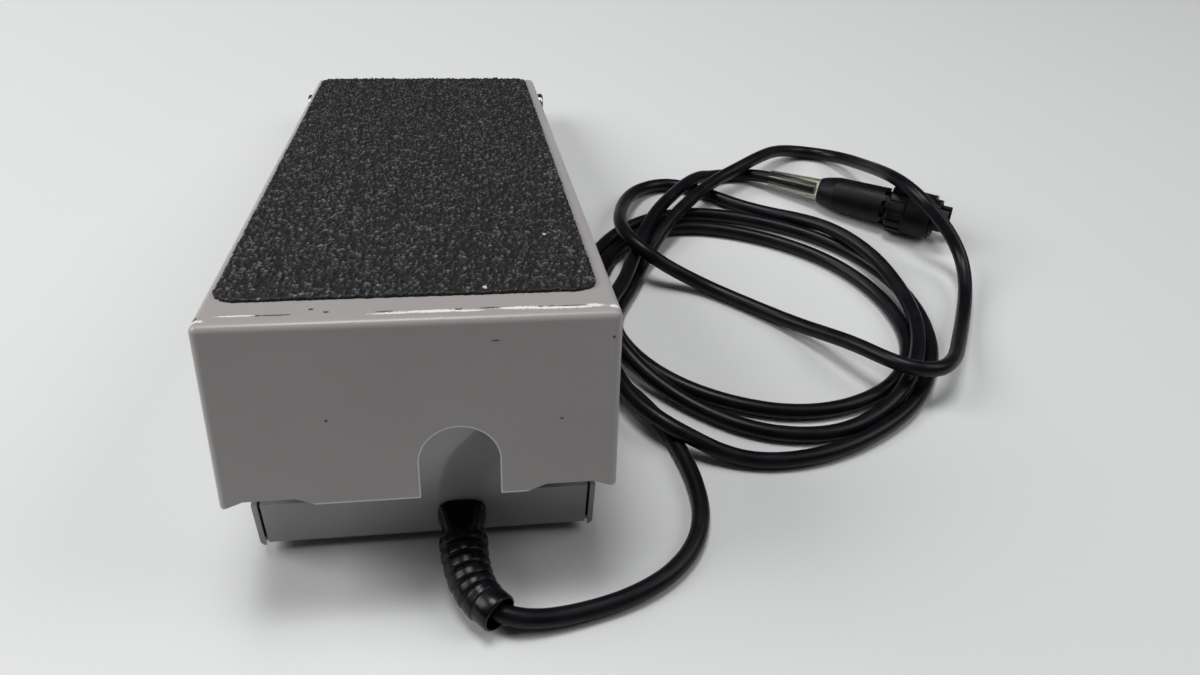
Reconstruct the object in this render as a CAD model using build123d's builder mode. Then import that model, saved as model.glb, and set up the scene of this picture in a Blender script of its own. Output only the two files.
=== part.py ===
from build123d import *
from math import acos, asin, cos, degrees, pi, radians, sin, sqrt, tan
import os

os.makedirs("parts", exist_ok=True)

# Variable speed foot pedal: a folded steel tray that stands on the floor, and a deep folded
# cover hinged to it at the heel. Millimetres, +Z up, +Y towards the hinge, cord at the -Y end.
# The origin is at floor level, under the middle of the pedal without its cord.

# Sheet metal
sheet = 1.5
bend = 2.0

# Cover, in its own slope: lengths run along the top, heights square to it. At rest its front
# lip stands lip_height, and its pivot pivot_height, above the tray's underside.
cover_width = 100.0
cover_length = 264.0
front_height = 50.4
rear_height = 14.0
hinge_setback = 15.5
hinge_drop = 8.4
lip_height = 35.95
pivot_height = 13.52

# Arched cord notch in the cover's front, and the two bent stop tabs of its lip
notch_x = 9.6
notch_width = 20.4
notch_height = 20.6
tab_notch_depth = 2.0
tab_ramp = 5.0
tab_width = 12.5
tab_inset = 12.2
tab_length = 19.5

# Grip pad
pad_side_margin = 3.5
pad_shift = -0.9
pad_front_margin = 12.8
pad_rear_margin = 3.0
pad_thickness = 1.5
pad_corner = 6.0

# Base tray
foot_height = 3.0
base_side_gap = 1.0
front_overhang = 28.8
base_rear = 10.0
corner_slit = 0.8
shoulder_height = 17.8
tall_wall_height = 47.0
shoulder_width = 16.0
rear_wall_height = 14.5
side_front_height = 35.0
side_rear_height = 17.5
ear_front = 14.0
ear_rear = 7.0

# Rubber feet, screws and nuts
foot_diameter = 15.0
foot_inset_x = 12.0
foot_inset_y = 22.0
foot_recess_depth = 1.6
foot_recess_diameter = 7.2
m3 = 3.0
m3_head_diameter = 5.6
m3_head_height = 1.5
m3_nut_width = 5.5
m3_nut_height = 2.4
m3_length = 9.0

# Pivot at the heel
pivot_diameter = 5.0
pivot_running_gap = 0.05
pivot_head_diameter = 9.5
pivot_head_height = 3.2
pivot_nut_width = 8.0
pivot_nut_height = 4.0
pivot_end = 1.0
bush_diameter = 11.0
face_gap = 0.1

# Rack sector on the cover and pinion on the potentiometer
module = 0.8
sector_teeth_full = 448
pinion_teeth = 14
pressure_angle = 20.0
addendum_share = 0.8
dedendum_share = 1.05
backlash = 0.16
teeth_below_mesh = 2
teeth_above_mesh = 7
sector_sweep = 22.5
pinion_height = 34.0
pinion_face = 6.0
sector_face = 4.0
sector_x = -8.0
sector_arm_width = 16.0
sector_top_gap = 2.0
leg_height = 13.0
flange_width = 12.0
rivet_diameter = 3.0
rivet_head_diameter = 5.5
rivet_head_height = 1.2

# Potentiometer and its bracket
bracket_x = 3.0
bracket_width = 32.0
bracket_foot = 16.0
bracket_top_margin = 14.0
bracket_screw_spacing = 20.0
bracket_screw_reach = 9.6
pot_diameter = 24.0
pot_depth = 11.5
bushing_diameter = 9.4
bushing_length = 7.0
pot_nut_width = 12.6
pot_nut_height = 2.2
bracket_corner = 3.0
washer_diameter = 14.0
washer_thickness = 0.6
shaft_diameter = 6.0
shaft_running_gap = 0.05
shaft_chamfer = 0.4
lug_width = 2.2
lug_thickness = 0.6
lug_length = 6.0
lug_pitch = 5.0
setscrew_diameter = 2.0
hub_diameter = 10.6
hub_length = 4.5

# Return spring
spring_reach = 105.0
spring_inset = 23.5
spring_diameter = 14.0
spring_wire = 1.8
spring_turns = 7.0
seat_diameter = 19.0
seat_flange = 1.5
seat_post_diameter = 9.4
seat_post_height = 8.0
seat_gap = 0.2

# Rest stop on the tray's rear wall
rest_stop_height = 5.5
rest_stop_wall = 1.6
rest_stop_inset = 16.0
rest_stop_gap = 0.3

# Cord and ribbed strain relief
cord_diameter = 5.5
relief_x = 9.3
relief_height = 8.5
relief_bore = 6.0
relief_neck_diameter = 11.0
relief_body_diameter = 10.0
relief_rib_diameter = 13.2
relief_rib_width = 1.9
relief_rib_pitch = 3.7
relief_ribs = 6
relief_collar_length = 8.0
relief_collar_width = 13.6
relief_flange_diameter = 13.4
relief_flange_length = 2.5
relief_mouth_length = 2.6
relief_mouth_diameter = 8.6
relief_collar_taper = 13.0
cord_inner_length = 14.0
relief_straight_length = 7.0
wire_diameter = 1.4
wire_pitch = 1.7
coil_x = 121.5
coil_y = -29.0
coil_half_x = 67.0
coil_half_y = 72.0
coil_hole_shift_x = 0.5
coil_hole_shift_y = 6.0
coil_hole_half_x = 52.0
coil_hole_half_y = 50.0
coil_height = 10.5

# Circular cable plug
plug_x = 203.0
plug_y = 29.5
plug_z = 11.1
plug_heading = -36.5
plug_pitch = 4.9
ring_diameter = 20.7
ring_length = 18.0
ring_start = -7.5
ring_band = 7.0
ring_front_diameter = 19.0
ring_ribs = 16
ring_rib_width = 2.6
ring_rib_depth = 0.7
ring_bore = 16.2
ring_running_gap = 0.08
shell_wall = 1.3
shell_reach = 6.5
insert_face = 5.0
contact_diameter = 1.6
contact_circle = 6.4
contact_count = 4
contact_reach = 6.0
skirt_angle_low = 20.0
skirt_angle_high = 190.0
skirt_angle_width = 100.0
skirt_depth_low = 3.9
skirt_depth_high = 5.5
bayonet_count = 3
bayonet_width = 4.0
bayonet_depth = 2.0
backshell_length = 30.0
backshell_rear_diameter = 10.8
backshell_middle_diameter = 14.8
backshell_front_diameter = 16.0
backshell_wall = 1.5
backshell_gap = 1.6
ratchet_teeth = 10
ratchet_depth = 1.2
sleeve_length = 25.5
sleeve_rear_diameter = 7.0
sleeve_front_diameter = 10.0
sleeve_wall = 0.7
sleeve_insert = 2.0
cord_in_backshell = 12.0

# Places worked out from the sizes above
front_s = hinge_setback - cover_length
rear_s = hinge_setback
top_n = hinge_drop
lip_n = hinge_drop - front_height
rear_n = hinge_drop - rear_height
lip_distance = sqrt(front_s**2 + lip_n**2)
tilt = acos((pivot_height - lip_height) / lip_distance) - acos(-lip_n / lip_distance)
hinge_z = foot_height + pivot_height
front_reach = -front_s * cos(tilt) - lip_n * sin(tilt)
rear_reach = (rear_s - bend) * cos(tilt) + (top_n - bend) * sin(tilt) + bend
hinge_y = (front_reach - rear_reach) / 2
floor_z = foot_height + sheet
tab_n = lip_n + tab_notch_depth
tab_centre = cover_width / 2 - tab_inset
pad_width = cover_width - 2 * pad_side_margin
base_width = cover_width - 2 * sheet - 2 * base_side_gap
wall_y = hinge_y - cover_length + front_overhang
rear_wall_y = hinge_y + base_rear
inner_half = base_width / 2 - sheet
foot_x = base_width / 2 - foot_inset_x
foot_places = [
    (x, y)
    for x in (-foot_x, foot_x)
    for y in (wall_y + foot_inset_y, rear_wall_y - foot_inset_y)
]
relief_z = foot_height + relief_height

# Mesh of the rack sector with the pinion
sector_radius = module * sector_teeth_full / 2
pinion_radius = module * pinion_teeth / 2
mesh_distance = sector_radius + pinion_radius
mesh_rise = pinion_height - hinge_z
pinion_y = hinge_y - sqrt(mesh_distance**2 - mesh_rise**2)
mesh_angle = 180 - degrees(asin(mesh_rise / mesh_distance))
addendum = addendum_share * module
dedendum = dedendum_share * module
half_tooth = pi * module / 4 - backlash / 4
bracket_screw_x = bracket_x + bracket_screw_reach
bracket_screw_places = [
    (bracket_screw_x, pinion_y + offset)
    for offset in (-bracket_screw_spacing / 2, bracket_screw_spacing / 2)
]

cover_frame = Plane(origin=(0, hinge_y, hinge_z), x_dir=(1, 0, 0), z_dir=(0, sin(tilt), cos(tilt)))
cover_side = Plane(origin=(0, hinge_y, hinge_z), x_dir=cover_frame.y_dir, z_dir=(1, 0, 0))
cover_front = Plane(
    origin=cover_frame.from_local_coords((0, front_s, top_n)),
    x_dir=(1, 0, 0),
    z_dir=-cover_frame.y_dir,
)
side = Plane(origin=(0, 0, 0), x_dir=(0, 1, 0), z_dir=(1, 0, 0))
pivot_axis = Axis((0, hinge_y, hinge_z), (1, 0, 0))
normal_axis = Axis(cover_frame.origin, cover_frame.z_dir)


def underside_z(y):
    """Height of the cover's inner top face at rest."""
    return hinge_z + (hinge_y - y) * tan(tilt) + (top_n - sheet) / cos(tilt)


def polar(centre, radius, angle, across=0.0):
    """Point at a radius and an angle in degrees from a centre, shifted across that direction."""
    turn = radians(angle)
    return (
        centre[0] + radius * cos(turn) - across * sin(turn),
        centre[1] + radius * sin(turn) + across * cos(turn),
    )


# The cover's inside: the same folded box, one sheet smaller and open below
with BuildPart() as cover_hollow:
    with BuildSketch(cover_side):
        with BuildLine():
            Polyline(
                (front_s + sheet, lip_n - front_height),
                (front_s + sheet, top_n - sheet),
                (rear_s - sheet, top_n - sheet),
                (rear_s - sheet, rear_n - front_height),
                close=True,
            )
        make_face()
    extrude(amount=cover_width / 2 - sheet, both=True)
    hollow_top = cover_hollow.faces().sort_by(normal_axis)[-1].edges()
    fillet(hollow_top + cover_hollow.edges().filter_by(normal_axis), radius=bend - sheet)

with BuildPart() as cover_shell:
    with BuildSketch(cover_side):
        with BuildLine():
            Polyline(
                (front_s, lip_n), (front_s, top_n), (rear_s, top_n), (rear_s, rear_n), close=True
            )
        make_face()
    extrude(amount=cover_width / 2, both=True)
    shell_top = cover_shell.faces().sort_by(normal_axis)[-1].edges()
    fillet(shell_top + cover_shell.edges().filter_by(normal_axis), radius=bend)
    add(cover_hollow.part, mode=Mode.SUBTRACT)
    # Cord notch: straight sides under a half circle
    with BuildSketch(cover_front):
        with Locations((notch_x, -front_height + notch_height - notch_width / 2)):
            Circle(notch_width / 2)
            Rectangle(notch_width, notch_height, align=(Align.CENTER, Align.MAX))
    extrude(amount=-2 * bend, mode=Mode.SUBTRACT)
    # The lip steps up over each stop tab, with a slanted end at each side
    with BuildSketch(cover_front):
        for centre in (-tab_centre, tab_centre):
            with BuildLine():
                Polyline(
                    (centre - tab_width / 2 - tab_ramp, -front_height - sheet),
                    (centre - tab_width / 2 - tab_ramp, -front_height),
                    (centre - tab_width / 2, -front_height + tab_notch_depth),
                    (centre + tab_width / 2, -front_height + tab_notch_depth),
                    (centre + tab_width / 2 + tab_ramp, -front_height),
                    (centre + tab_width / 2 + tab_ramp, -front_height - sheet),
                    close=True,
                )
            make_face()
    extrude(amount=-bend, mode=Mode.SUBTRACT)
    # Stop tabs, bent in under the lip
    for centre in (-tab_centre, tab_centre):
        with BuildSketch(cover_side.offset(centre - tab_width / 2)):
            with BuildLine():
                FilletPolyline(
                    (front_s, tab_n + 2 * bend),
                    (front_s, tab_n),
                    (front_s + tab_length, tab_n),
                    radius=bend,
                )
                FilletPolyline(
                    (front_s + tab_length, tab_n + sheet),
                    (front_s + sheet, tab_n + sheet),
                    (front_s + sheet, tab_n + 2 * bend),
                    radius=bend - sheet,
                )
                Line((front_s + tab_length, tab_n), (front_s + tab_length, tab_n + sheet))
                Line((front_s + sheet, tab_n + 2 * bend), (front_s, tab_n + 2 * bend))
            make_face()
        extrude(amount=tab_width)
    # Pivot holes in both side walls
    with BuildSketch(cover_side):
        Circle(pivot_diameter / 2 + pivot_running_gap)
    extrude(amount=cover_width, both=True, mode=Mode.SUBTRACT)
cover_shell.part.label = "cover_shell"
export_step(cover_shell.part, "parts/cover_shell.step")

# Anti-slip sheet on the cover, from just behind the front bend to the heel
with BuildPart() as grip_pad:
    pad_length = cover_length - pad_front_margin - pad_rear_margin
    with BuildSketch(cover_frame.offset(top_n)):
        with Locations((pad_shift, front_s + pad_front_margin + pad_length / 2)):
            RectangleRounded(pad_width, pad_length, pad_corner)
    extrude(amount=pad_thickness)
    fillet(grip_pad.faces().sort_by(normal_axis)[-1].edges(), radius=pad_thickness / 3)
grip_pad.part.label = "grip_pad"
export_step(grip_pad.part, "parts/grip_pad.step")

# Tray: floor and two side walls from one channel, front and rear walls folded up between them
side_top = [
    (wall_y - bend, foot_height + side_front_height),
    (wall_y, foot_height + side_front_height),
    (hinge_y - ear_front, foot_height + side_rear_height),
    (hinge_y + ear_rear, foot_height + side_rear_height),
    (rear_wall_y, foot_height + rear_wall_height),
    (rear_wall_y + bend, foot_height + rear_wall_height),
]
with BuildPart() as base_tray:
    with BuildSketch(Plane.XZ.offset(-rear_wall_y)):
        with BuildLine():
            FilletPolyline(
                (-base_width / 2, foot_height + side_front_height),
                (-base_width / 2, foot_height),
                (base_width / 2, foot_height),
                (base_width / 2, foot_height + side_front_height),
                radius=bend,
            )
            FilletPolyline(
                (-inner_half, foot_height + side_front_height),
                (-inner_half, floor_z),
                (inner_half, floor_z),
                (inner_half, foot_height + side_front_height),
                radius=bend - sheet,
            )
            for edge_x in (-1, 1):
                Line(
                    (edge_x * base_width / 2, foot_height + side_front_height),
                    (edge_x * inner_half, foot_height + side_front_height),
                )
        make_face()
    extrude(amount=rear_wall_y - wall_y)
    # Side walls taper to the heel and keep an ear round each pivot
    with BuildSketch(side):
        with BuildLine():
            Polyline(
                *side_top,
                (rear_wall_y + bend, foot_height + 2 * side_front_height),
                (wall_y - bend, foot_height + 2 * side_front_height),
                close=True,
            )
        make_face()
    extrude(amount=base_width, both=True, mode=Mode.SUBTRACT)
    # The floor stops short at both ends, where the end walls bend up between the side walls
    with BuildSketch(Plane.XY.offset(foot_height)):
        for end_y in (wall_y + bend / 2, rear_wall_y - bend / 2):
            with Locations((0, end_y)):
                Rectangle(2 * inner_half, bend)
    extrude(amount=bend, mode=Mode.SUBTRACT)
    # Front wall: low shoulders under the stop tabs, tall middle behind the cord notch
    with BuildSketch(side):
        with BuildLine():
            FilletPolyline(
                (wall_y + 2 * bend, foot_height),
                (wall_y, foot_height),
                (wall_y, foot_height + tall_wall_height),
                radius=bend,
            )
            FilletPolyline(
                (wall_y + 2 * bend, floor_z),
                (wall_y + sheet, floor_z),
                (wall_y + sheet, foot_height + tall_wall_height),
                radius=bend - sheet,
            )
            Line((wall_y + 2 * bend, foot_height), (wall_y + 2 * bend, floor_z))
            Line(
                (wall_y, foot_height + tall_wall_height),
                (wall_y + sheet, foot_height + tall_wall_height),
            )
        make_face()
    extrude(amount=inner_half - corner_slit, both=True)
    with BuildSketch(Plane.XZ.offset(-wall_y + bend)):
        for edge_x in (-1, 1):
            with Locations((edge_x * inner_half, foot_height + shoulder_height)):
                Rectangle(
                    2 * shoulder_width,
                    tall_wall_height,
                    align=(Align.CENTER, Align.MIN),
                )
    extrude(amount=-3 * bend, mode=Mode.SUBTRACT)
    # Rear wall
    with BuildSketch(side):
        with BuildLine():
            FilletPolyline(
                (rear_wall_y - 2 * bend, foot_height),
                (rear_wall_y, foot_height),
                (rear_wall_y, foot_height + rear_wall_height),
                radius=bend,
            )
            FilletPolyline(
                (rear_wall_y - 2 * bend, floor_z),
                (rear_wall_y - sheet, floor_z),
                (rear_wall_y - sheet, foot_height + rear_wall_height),
                radius=bend - sheet,
            )
            Line((rear_wall_y - 2 * bend, foot_height), (rear_wall_y - 2 * bend, floor_z))
            Line(
                (rear_wall_y, foot_height + rear_wall_height),
                (rear_wall_y - sheet, foot_height + rear_wall_height),
            )
        make_face()
    extrude(amount=inner_half - corner_slit, both=True)
    # Holes for the feet, the potentiometer bracket, the strain relief and the pivot
    with BuildSketch(Plane.XY.offset(foot_height)):
        with Locations(*foot_places, *bracket_screw_places):
            Circle(m3 / 2)
    extrude(amount=sheet, mode=Mode.SUBTRACT)
    with BuildSketch(Plane.XZ.offset(-wall_y)):
        with Locations((relief_x, relief_z)):
            Circle(relief_neck_diameter / 2)
    extrude(amount=-sheet, mode=Mode.SUBTRACT)
    with BuildSketch(side):
        with Locations((hinge_y, hinge_z)):
            Circle(pivot_diameter / 2)
    extrude(amount=base_width, both=True, mode=Mode.SUBTRACT)
base_tray.part.label = "base_tray"
export_step(base_tray.part, "parts/base_tray.step")

# Rubber feet, recessed for their screws
with BuildPart() as rubber_feet:
    with BuildSketch():
        with Locations(*foot_places):
            Circle(foot_diameter / 2)
    extrude(amount=foot_height)
    with BuildSketch():
        with Locations(*foot_places):
            Circle(foot_recess_diameter / 2)
    extrude(amount=foot_recess_depth, mode=Mode.SUBTRACT)
    with BuildSketch():
        with Locations(*foot_places):
            Circle(m3 / 2)
    extrude(amount=foot_height, mode=Mode.SUBTRACT)
rubber_feet.part.label = "rubber_feet"
export_step(rubber_feet.part, "parts/rubber_feet.step")

# Screws from below with pan heads, and their nuts on the tray floor
with BuildPart() as foot_screws:
    with BuildSketch(Plane.XY.offset(foot_recess_depth - m3_head_height)):
        with Locations(*foot_places):
            Circle(m3_head_diameter / 2)
    extrude(amount=m3_head_height)
    with BuildSketch(Plane.XY.offset(foot_recess_depth)):
        with Locations(*foot_places):
            Circle(m3 / 2)
    extrude(amount=m3_length)
foot_screws.part.label = "foot_screws"
export_step(foot_screws.part, "parts/foot_screws.step")

with BuildPart() as foot_nuts:
    with BuildSketch(Plane.XY.offset(floor_z)):
        with Locations(*foot_places):
            RegularPolygon(m3_nut_width / 2, 6, major_radius=False)
            Circle(m3 / 2, mode=Mode.SUBTRACT)
    extrude(amount=m3_nut_height)
foot_nuts.part.label = "foot_nuts"
export_step(foot_nuts.part, "parts/foot_nuts.step")

# Pivot at the heel: a pan-head screw through each pair of side walls, with a bush between them
with BuildPart() as pivot_screws:
    nut_face = inner_half - pivot_nut_height
    for way in (-1, 1):
        with BuildSketch(side.offset(way * (cover_width / 2 + face_gap))):
            with Locations((hinge_y, hinge_z)):
                Circle(pivot_head_diameter / 2)
        extrude(amount=way * pivot_head_height)
        with BuildSketch(side.offset(way * (cover_width / 2 + face_gap))):
            with Locations((hinge_y, hinge_z)):
                Circle(pivot_diameter / 2)
        extrude(amount=-way * (cover_width / 2 + face_gap - nut_face + pivot_end))
    head_rims = pivot_screws.edges().filter_by(GeomType.CIRCLE).sort_by(Axis.X)
    fillet([head_rims[0], head_rims[-1]], radius=pivot_head_height / 3)
pivot_screws.part.label = "pivot_screws"
export_step(pivot_screws.part, "parts/pivot_screws.step")

with BuildPart() as pivot_bushes:
    for way in (-1, 1):
        with BuildSketch(side.offset(way * base_width / 2)):
            with Locations((hinge_y, hinge_z)):
                Circle(bush_diameter / 2)
                Circle(pivot_diameter / 2, mode=Mode.SUBTRACT)
        extrude(amount=way * (cover_width / 2 - sheet - base_width / 2 - face_gap))
pivot_bushes.part.label = "pivot_bushes"
export_step(pivot_bushes.part, "parts/pivot_bushes.step")

with BuildPart() as pivot_nuts:
    for way in (-1, 1):
        with BuildSketch(side.offset(way * inner_half)):
            with Locations((hinge_y, hinge_z)):
                RegularPolygon(pivot_nut_width / 2, 6, major_radius=False)
                Circle(pivot_diameter / 2, mode=Mode.SUBTRACT)
        extrude(amount=-way * pivot_nut_height)
pivot_nuts.part.label = "pivot_nuts"
export_step(pivot_nuts.part, "parts/pivot_nuts.step")

# Rubber edging on the rear wall: the cover's heel end comes down on it at rest
stop_top = underside_z(rear_wall_y + rest_stop_wall) - rest_stop_gap
wall_top = foot_height + rear_wall_height
with BuildPart() as rest_stop:
    with BuildSketch(side):
        with Locations((rear_wall_y - sheet / 2, stop_top)):
            Rectangle(
                sheet + 2 * rest_stop_wall,
                stop_top - wall_top + rest_stop_height,
                align=(Align.CENTER, Align.MAX),
            )
        with Locations((rear_wall_y - sheet / 2, wall_top)):
            Rectangle(sheet, rest_stop_height, align=(Align.CENTER, Align.MAX), mode=Mode.SUBTRACT)
    extrude(amount=inner_half - rest_stop_inset, both=True)
rest_stop.part.label = "rest_stop"
export_step(rest_stop.part, "parts/rest_stop.step")

# Rack sector: an arm of constant radius about the pivot, cut square to hang from the cover,
# with teeth on its front edge over the stretch that meets the pinion
hinge_point = (hinge_y, hinge_z)
pitch_angle = 360 / sector_teeth_full
root_radius = sector_radius - dedendum
flank = tan(radians(pressure_angle))
sector_low = mesh_angle + (teeth_below_mesh + 1) * pitch_angle
sector_high = mesh_angle - sector_sweep
arm_radius = root_radius - sector_arm_width
leg_n = top_n - sheet - leg_height
leg_x = sector_x + sector_face / 2
leg_s = -(root_radius + arm_radius) / 2
rivet_n = (leg_n + top_n - sheet - sector_top_gap) / 2
rivet_places = [(leg_s + share * sector_arm_width, rivet_n) for share in (-0.25, 0.25)]
with BuildPart() as rack_sector:
    with BuildSketch(side.offset(sector_x - sector_face / 2)):
        with BuildLine():
            ThreePointArc(
                polar(hinge_point, root_radius, sector_low),
                polar(hinge_point, root_radius, (sector_low + sector_high) / 2),
                polar(hinge_point, root_radius, sector_high),
            )
            Line(
                polar(hinge_point, root_radius, sector_high),
                polar(hinge_point, arm_radius, sector_high),
            )
            ThreePointArc(
                polar(hinge_point, arm_radius, sector_high),
                polar(hinge_point, arm_radius, (sector_low + sector_high) / 2),
                polar(hinge_point, arm_radius, sector_low),
            )
            Line(
                polar(hinge_point, arm_radius, sector_low),
                polar(hinge_point, root_radius, sector_low),
            )
        make_face()
        # Each tooth narrows from its foot, sunk a little into the rim, to its tip
        half_foot = half_tooth + dedendum * flank
        half_tip = half_tooth - addendum * flank
        for tooth in range(-teeth_below_mesh, teeth_above_mesh + 1):
            angle = mesh_angle - tooth * pitch_angle
            with BuildLine():
                Polyline(
                    polar(hinge_point, root_radius - dedendum, angle, -half_foot),
                    polar(hinge_point, root_radius, angle, -half_foot),
                    polar(hinge_point, sector_radius + addendum, angle, -half_tip),
                    polar(hinge_point, sector_radius + addendum, angle, half_tip),
                    polar(hinge_point, root_radius, angle, half_foot),
                    polar(hinge_point, root_radius - dedendum, angle, half_foot),
                    close=True,
                )
            make_face()
    extrude(amount=sector_face)
    with BuildSketch(cover_side):
        with Locations((front_s / 2, top_n - sheet - sector_top_gap)):
            Rectangle(-front_s, front_height, align=(Align.CENTER, Align.MIN))
    extrude(amount=cover_width / 2, both=True, mode=Mode.SUBTRACT)
    with BuildSketch(cover_side):
        with Locations(*rivet_places):
            Circle(rivet_diameter / 2)
    extrude(amount=cover_width / 2, both=True, mode=Mode.SUBTRACT)
rack_sector.part.label = "rack_sector"
export_step(rack_sector.part, "parts/rack_sector.step")

# Folded bracket under the cover: its leg carries the rack sector on two rivets
with BuildPart() as rack_bracket:
    with BuildSketch(cover_side.offset(leg_x)):
        with Locations((leg_s, top_n - sheet)):
            Rectangle(sector_arm_width, leg_height, align=(Align.CENTER, Align.MAX))
    extrude(amount=sheet)
    with BuildSketch(cover_side.offset(leg_x)):
        with Locations((leg_s, top_n - sheet)):
            Rectangle(sector_arm_width, sheet, align=(Align.CENTER, Align.MAX))
    extrude(amount=flange_width)
    with BuildSketch(cover_side.offset(leg_x)):
        with Locations(*rivet_places):
            Circle(rivet_diameter / 2)
    extrude(amount=sheet, mode=Mode.SUBTRACT)
rack_bracket.part.label = "rack_bracket"
export_step(rack_bracket.part, "parts/rack_bracket.step")

with BuildPart() as rack_rivets:
    with BuildSketch(cover_side.offset(leg_x - sector_face)):
        with Locations(*rivet_places):
            Circle(rivet_diameter / 2)
    extrude(amount=sector_face + sheet)
    with BuildSketch(cover_side.offset(leg_x - sector_face)):
        with Locations(*rivet_places):
            Circle(rivet_head_diameter / 2)
    extrude(amount=-rivet_head_height)
    with BuildSketch(cover_side.offset(leg_x + sheet)):
        with Locations(*rivet_places):
            Circle(rivet_head_diameter / 2)
    extrude(amount=rivet_head_height)
rack_rivets.part.label = "rack_rivets"
export_step(rack_rivets.part, "parts/rack_rivets.step")

# Pinion with involute teeth and a hub, turning against the rack sector; a tooth space faces
# the pivot at rest, where the sector's first tooth stands on the line of centres
pinion_point = (pinion_y, pinion_height)
base_radius = pinion_radius * cos(radians(pressure_angle))


def half_angle(radius):
    """Half the angle that a pinion tooth fills at a radius, in degrees."""
    here = acos(min(1.0, base_radius / radius))
    at_pitch = radians(pressure_angle)
    turned = (tan(at_pitch) - at_pitch) - (tan(here) - here)
    return degrees(half_tooth / pinion_radius + turned)


tooth_root = pinion_radius - dedendum
tooth_tip = pinion_radius + addendum
hub_x = sector_x - pinion_face / 2 - hub_length
with BuildPart() as pinion:
    with BuildSketch(side.offset(sector_x - pinion_face / 2)):
        with Locations(pinion_point):
            Circle(tooth_root)
        for tooth in range(pinion_teeth):
            centre_angle = mesh_angle + 180 + (tooth + 0.5) * 360 / pinion_teeth
            sides = (-1, 1)
            foot = [centre_angle + way * half_angle(base_radius) for way in sides]
            middle = [centre_angle + way * half_angle(pinion_radius) for way in sides]
            tip = [centre_angle + way * half_angle(tooth_tip) for way in sides]
            with BuildLine():
                for k in (0, 1):
                    Line(
                        polar(pinion_point, tooth_root - dedendum, foot[k]),
                        polar(pinion_point, base_radius, foot[k]),
                    )
                    ThreePointArc(
                        polar(pinion_point, base_radius, foot[k]),
                        polar(pinion_point, pinion_radius, middle[k]),
                        polar(pinion_point, tooth_tip, tip[k]),
                    )
                Line(
                    polar(pinion_point, tooth_tip, tip[0]),
                    polar(pinion_point, tooth_tip, tip[1]),
                )
                Line(
                    polar(pinion_point, tooth_root - dedendum, foot[0]),
                    polar(pinion_point, tooth_root - dedendum, foot[1]),
                )
            make_face()
    extrude(amount=pinion_face)
    with BuildSketch(side.offset(hub_x)):
        with Locations(pinion_point):
            Circle(hub_diameter / 2)
    extrude(amount=hub_length)
    with BuildSketch(side.offset(hub_x)):
        with Locations(pinion_point):
            Circle(shaft_diameter / 2)
    extrude(amount=hub_length + pinion_face, mode=Mode.SUBTRACT)
    with BuildSketch(Plane.XY.offset(pinion_height)):
        with Locations((hub_x + hub_length / 2, pinion_y)):
            Circle(setscrew_diameter / 2)
    extrude(amount=hub_diameter, mode=Mode.SUBTRACT)
pinion.part.label = "pinion"
export_step(pinion.part, "parts/pinion.step")

with BuildPart() as pinion_setscrew:
    with BuildSketch(Plane.XY.offset(pinion_height + shaft_diameter / 2)):
        with Locations((hub_x + hub_length / 2, pinion_y)):
            Circle(setscrew_diameter / 2)
            RegularPolygon(setscrew_diameter / 4, 6, mode=Mode.SUBTRACT)
    extrude(amount=(hub_diameter - shaft_diameter) / 2 - face_gap)
pinion_setscrew.part.label = "pinion_setscrew"
export_step(pinion_setscrew.part, "parts/pinion_setscrew.step")

# Potentiometer: can, threaded bushing and shaft, held by a nut and washer on a folded bracket
can_x = bracket_x + sheet
shaft_end = can_x + pot_depth / 2
with BuildPart() as pot_shaft:
    with BuildSketch(side.offset(hub_x)):
        with Locations(pinion_point):
            Circle(shaft_diameter / 2)
    extrude(amount=shaft_end - hub_x)
    chamfer(pot_shaft.edges().filter_by(GeomType.CIRCLE).sort_by(Axis.X)[0], length=shaft_chamfer)
pot_shaft.part.label = "pot_shaft"
export_step(pot_shaft.part, "parts/pot_shaft.step")

with BuildPart() as pot_body:
    with BuildSketch(side.offset(can_x)):
        with Locations(pinion_point):
            Circle(pot_diameter / 2)
    extrude(amount=pot_depth)
    fillet(pot_body.edges().filter_by(GeomType.CIRCLE).sort_by(Axis.X)[-1], radius=bend / 2)
    with BuildSketch(side.offset(can_x)):
        with Locations(pinion_point):
            Circle(bushing_diameter / 2)
    extrude(amount=-bushing_length)
    with BuildSketch(side.offset(can_x - bushing_length)):
        with Locations(pinion_point):
            Circle(shaft_diameter / 2 + shaft_running_gap)
    extrude(amount=bushing_length + pot_depth / 2 + face_gap, mode=Mode.SUBTRACT)
pot_body.part.label = "pot_body"
export_step(pot_body.part, "parts/pot_body.step")

lug_x = can_x + pot_depth / 2
lug_places = [(lug_x, pinion_y + k * lug_pitch) for k in (-1, 0, 1)]
lug_bottom = pinion_height - pot_diameter / 2 - lug_length
with BuildPart() as pot_lugs:
    with BuildSketch(Plane.XY.offset(lug_bottom)):
        with Locations(*lug_places):
            Rectangle(lug_thickness, lug_width)
    extrude(amount=lug_length + pot_diameter / 4)
    with BuildSketch(side.offset(can_x)):
        with Locations(pinion_point):
            Circle(pot_diameter / 2)
    extrude(amount=pot_depth, mode=Mode.SUBTRACT)
pot_lugs.part.label = "pot_lugs"
export_step(pot_lugs.part, "parts/pot_lugs.step")

with BuildPart() as pot_washer:
    with BuildSketch(side.offset(bracket_x)):
        with Locations(pinion_point):
            Circle(washer_diameter / 2)
            Circle(bushing_diameter / 2, mode=Mode.SUBTRACT)
    extrude(amount=-washer_thickness)
pot_washer.part.label = "pot_washer"
export_step(pot_washer.part, "parts/pot_washer.step")

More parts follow.
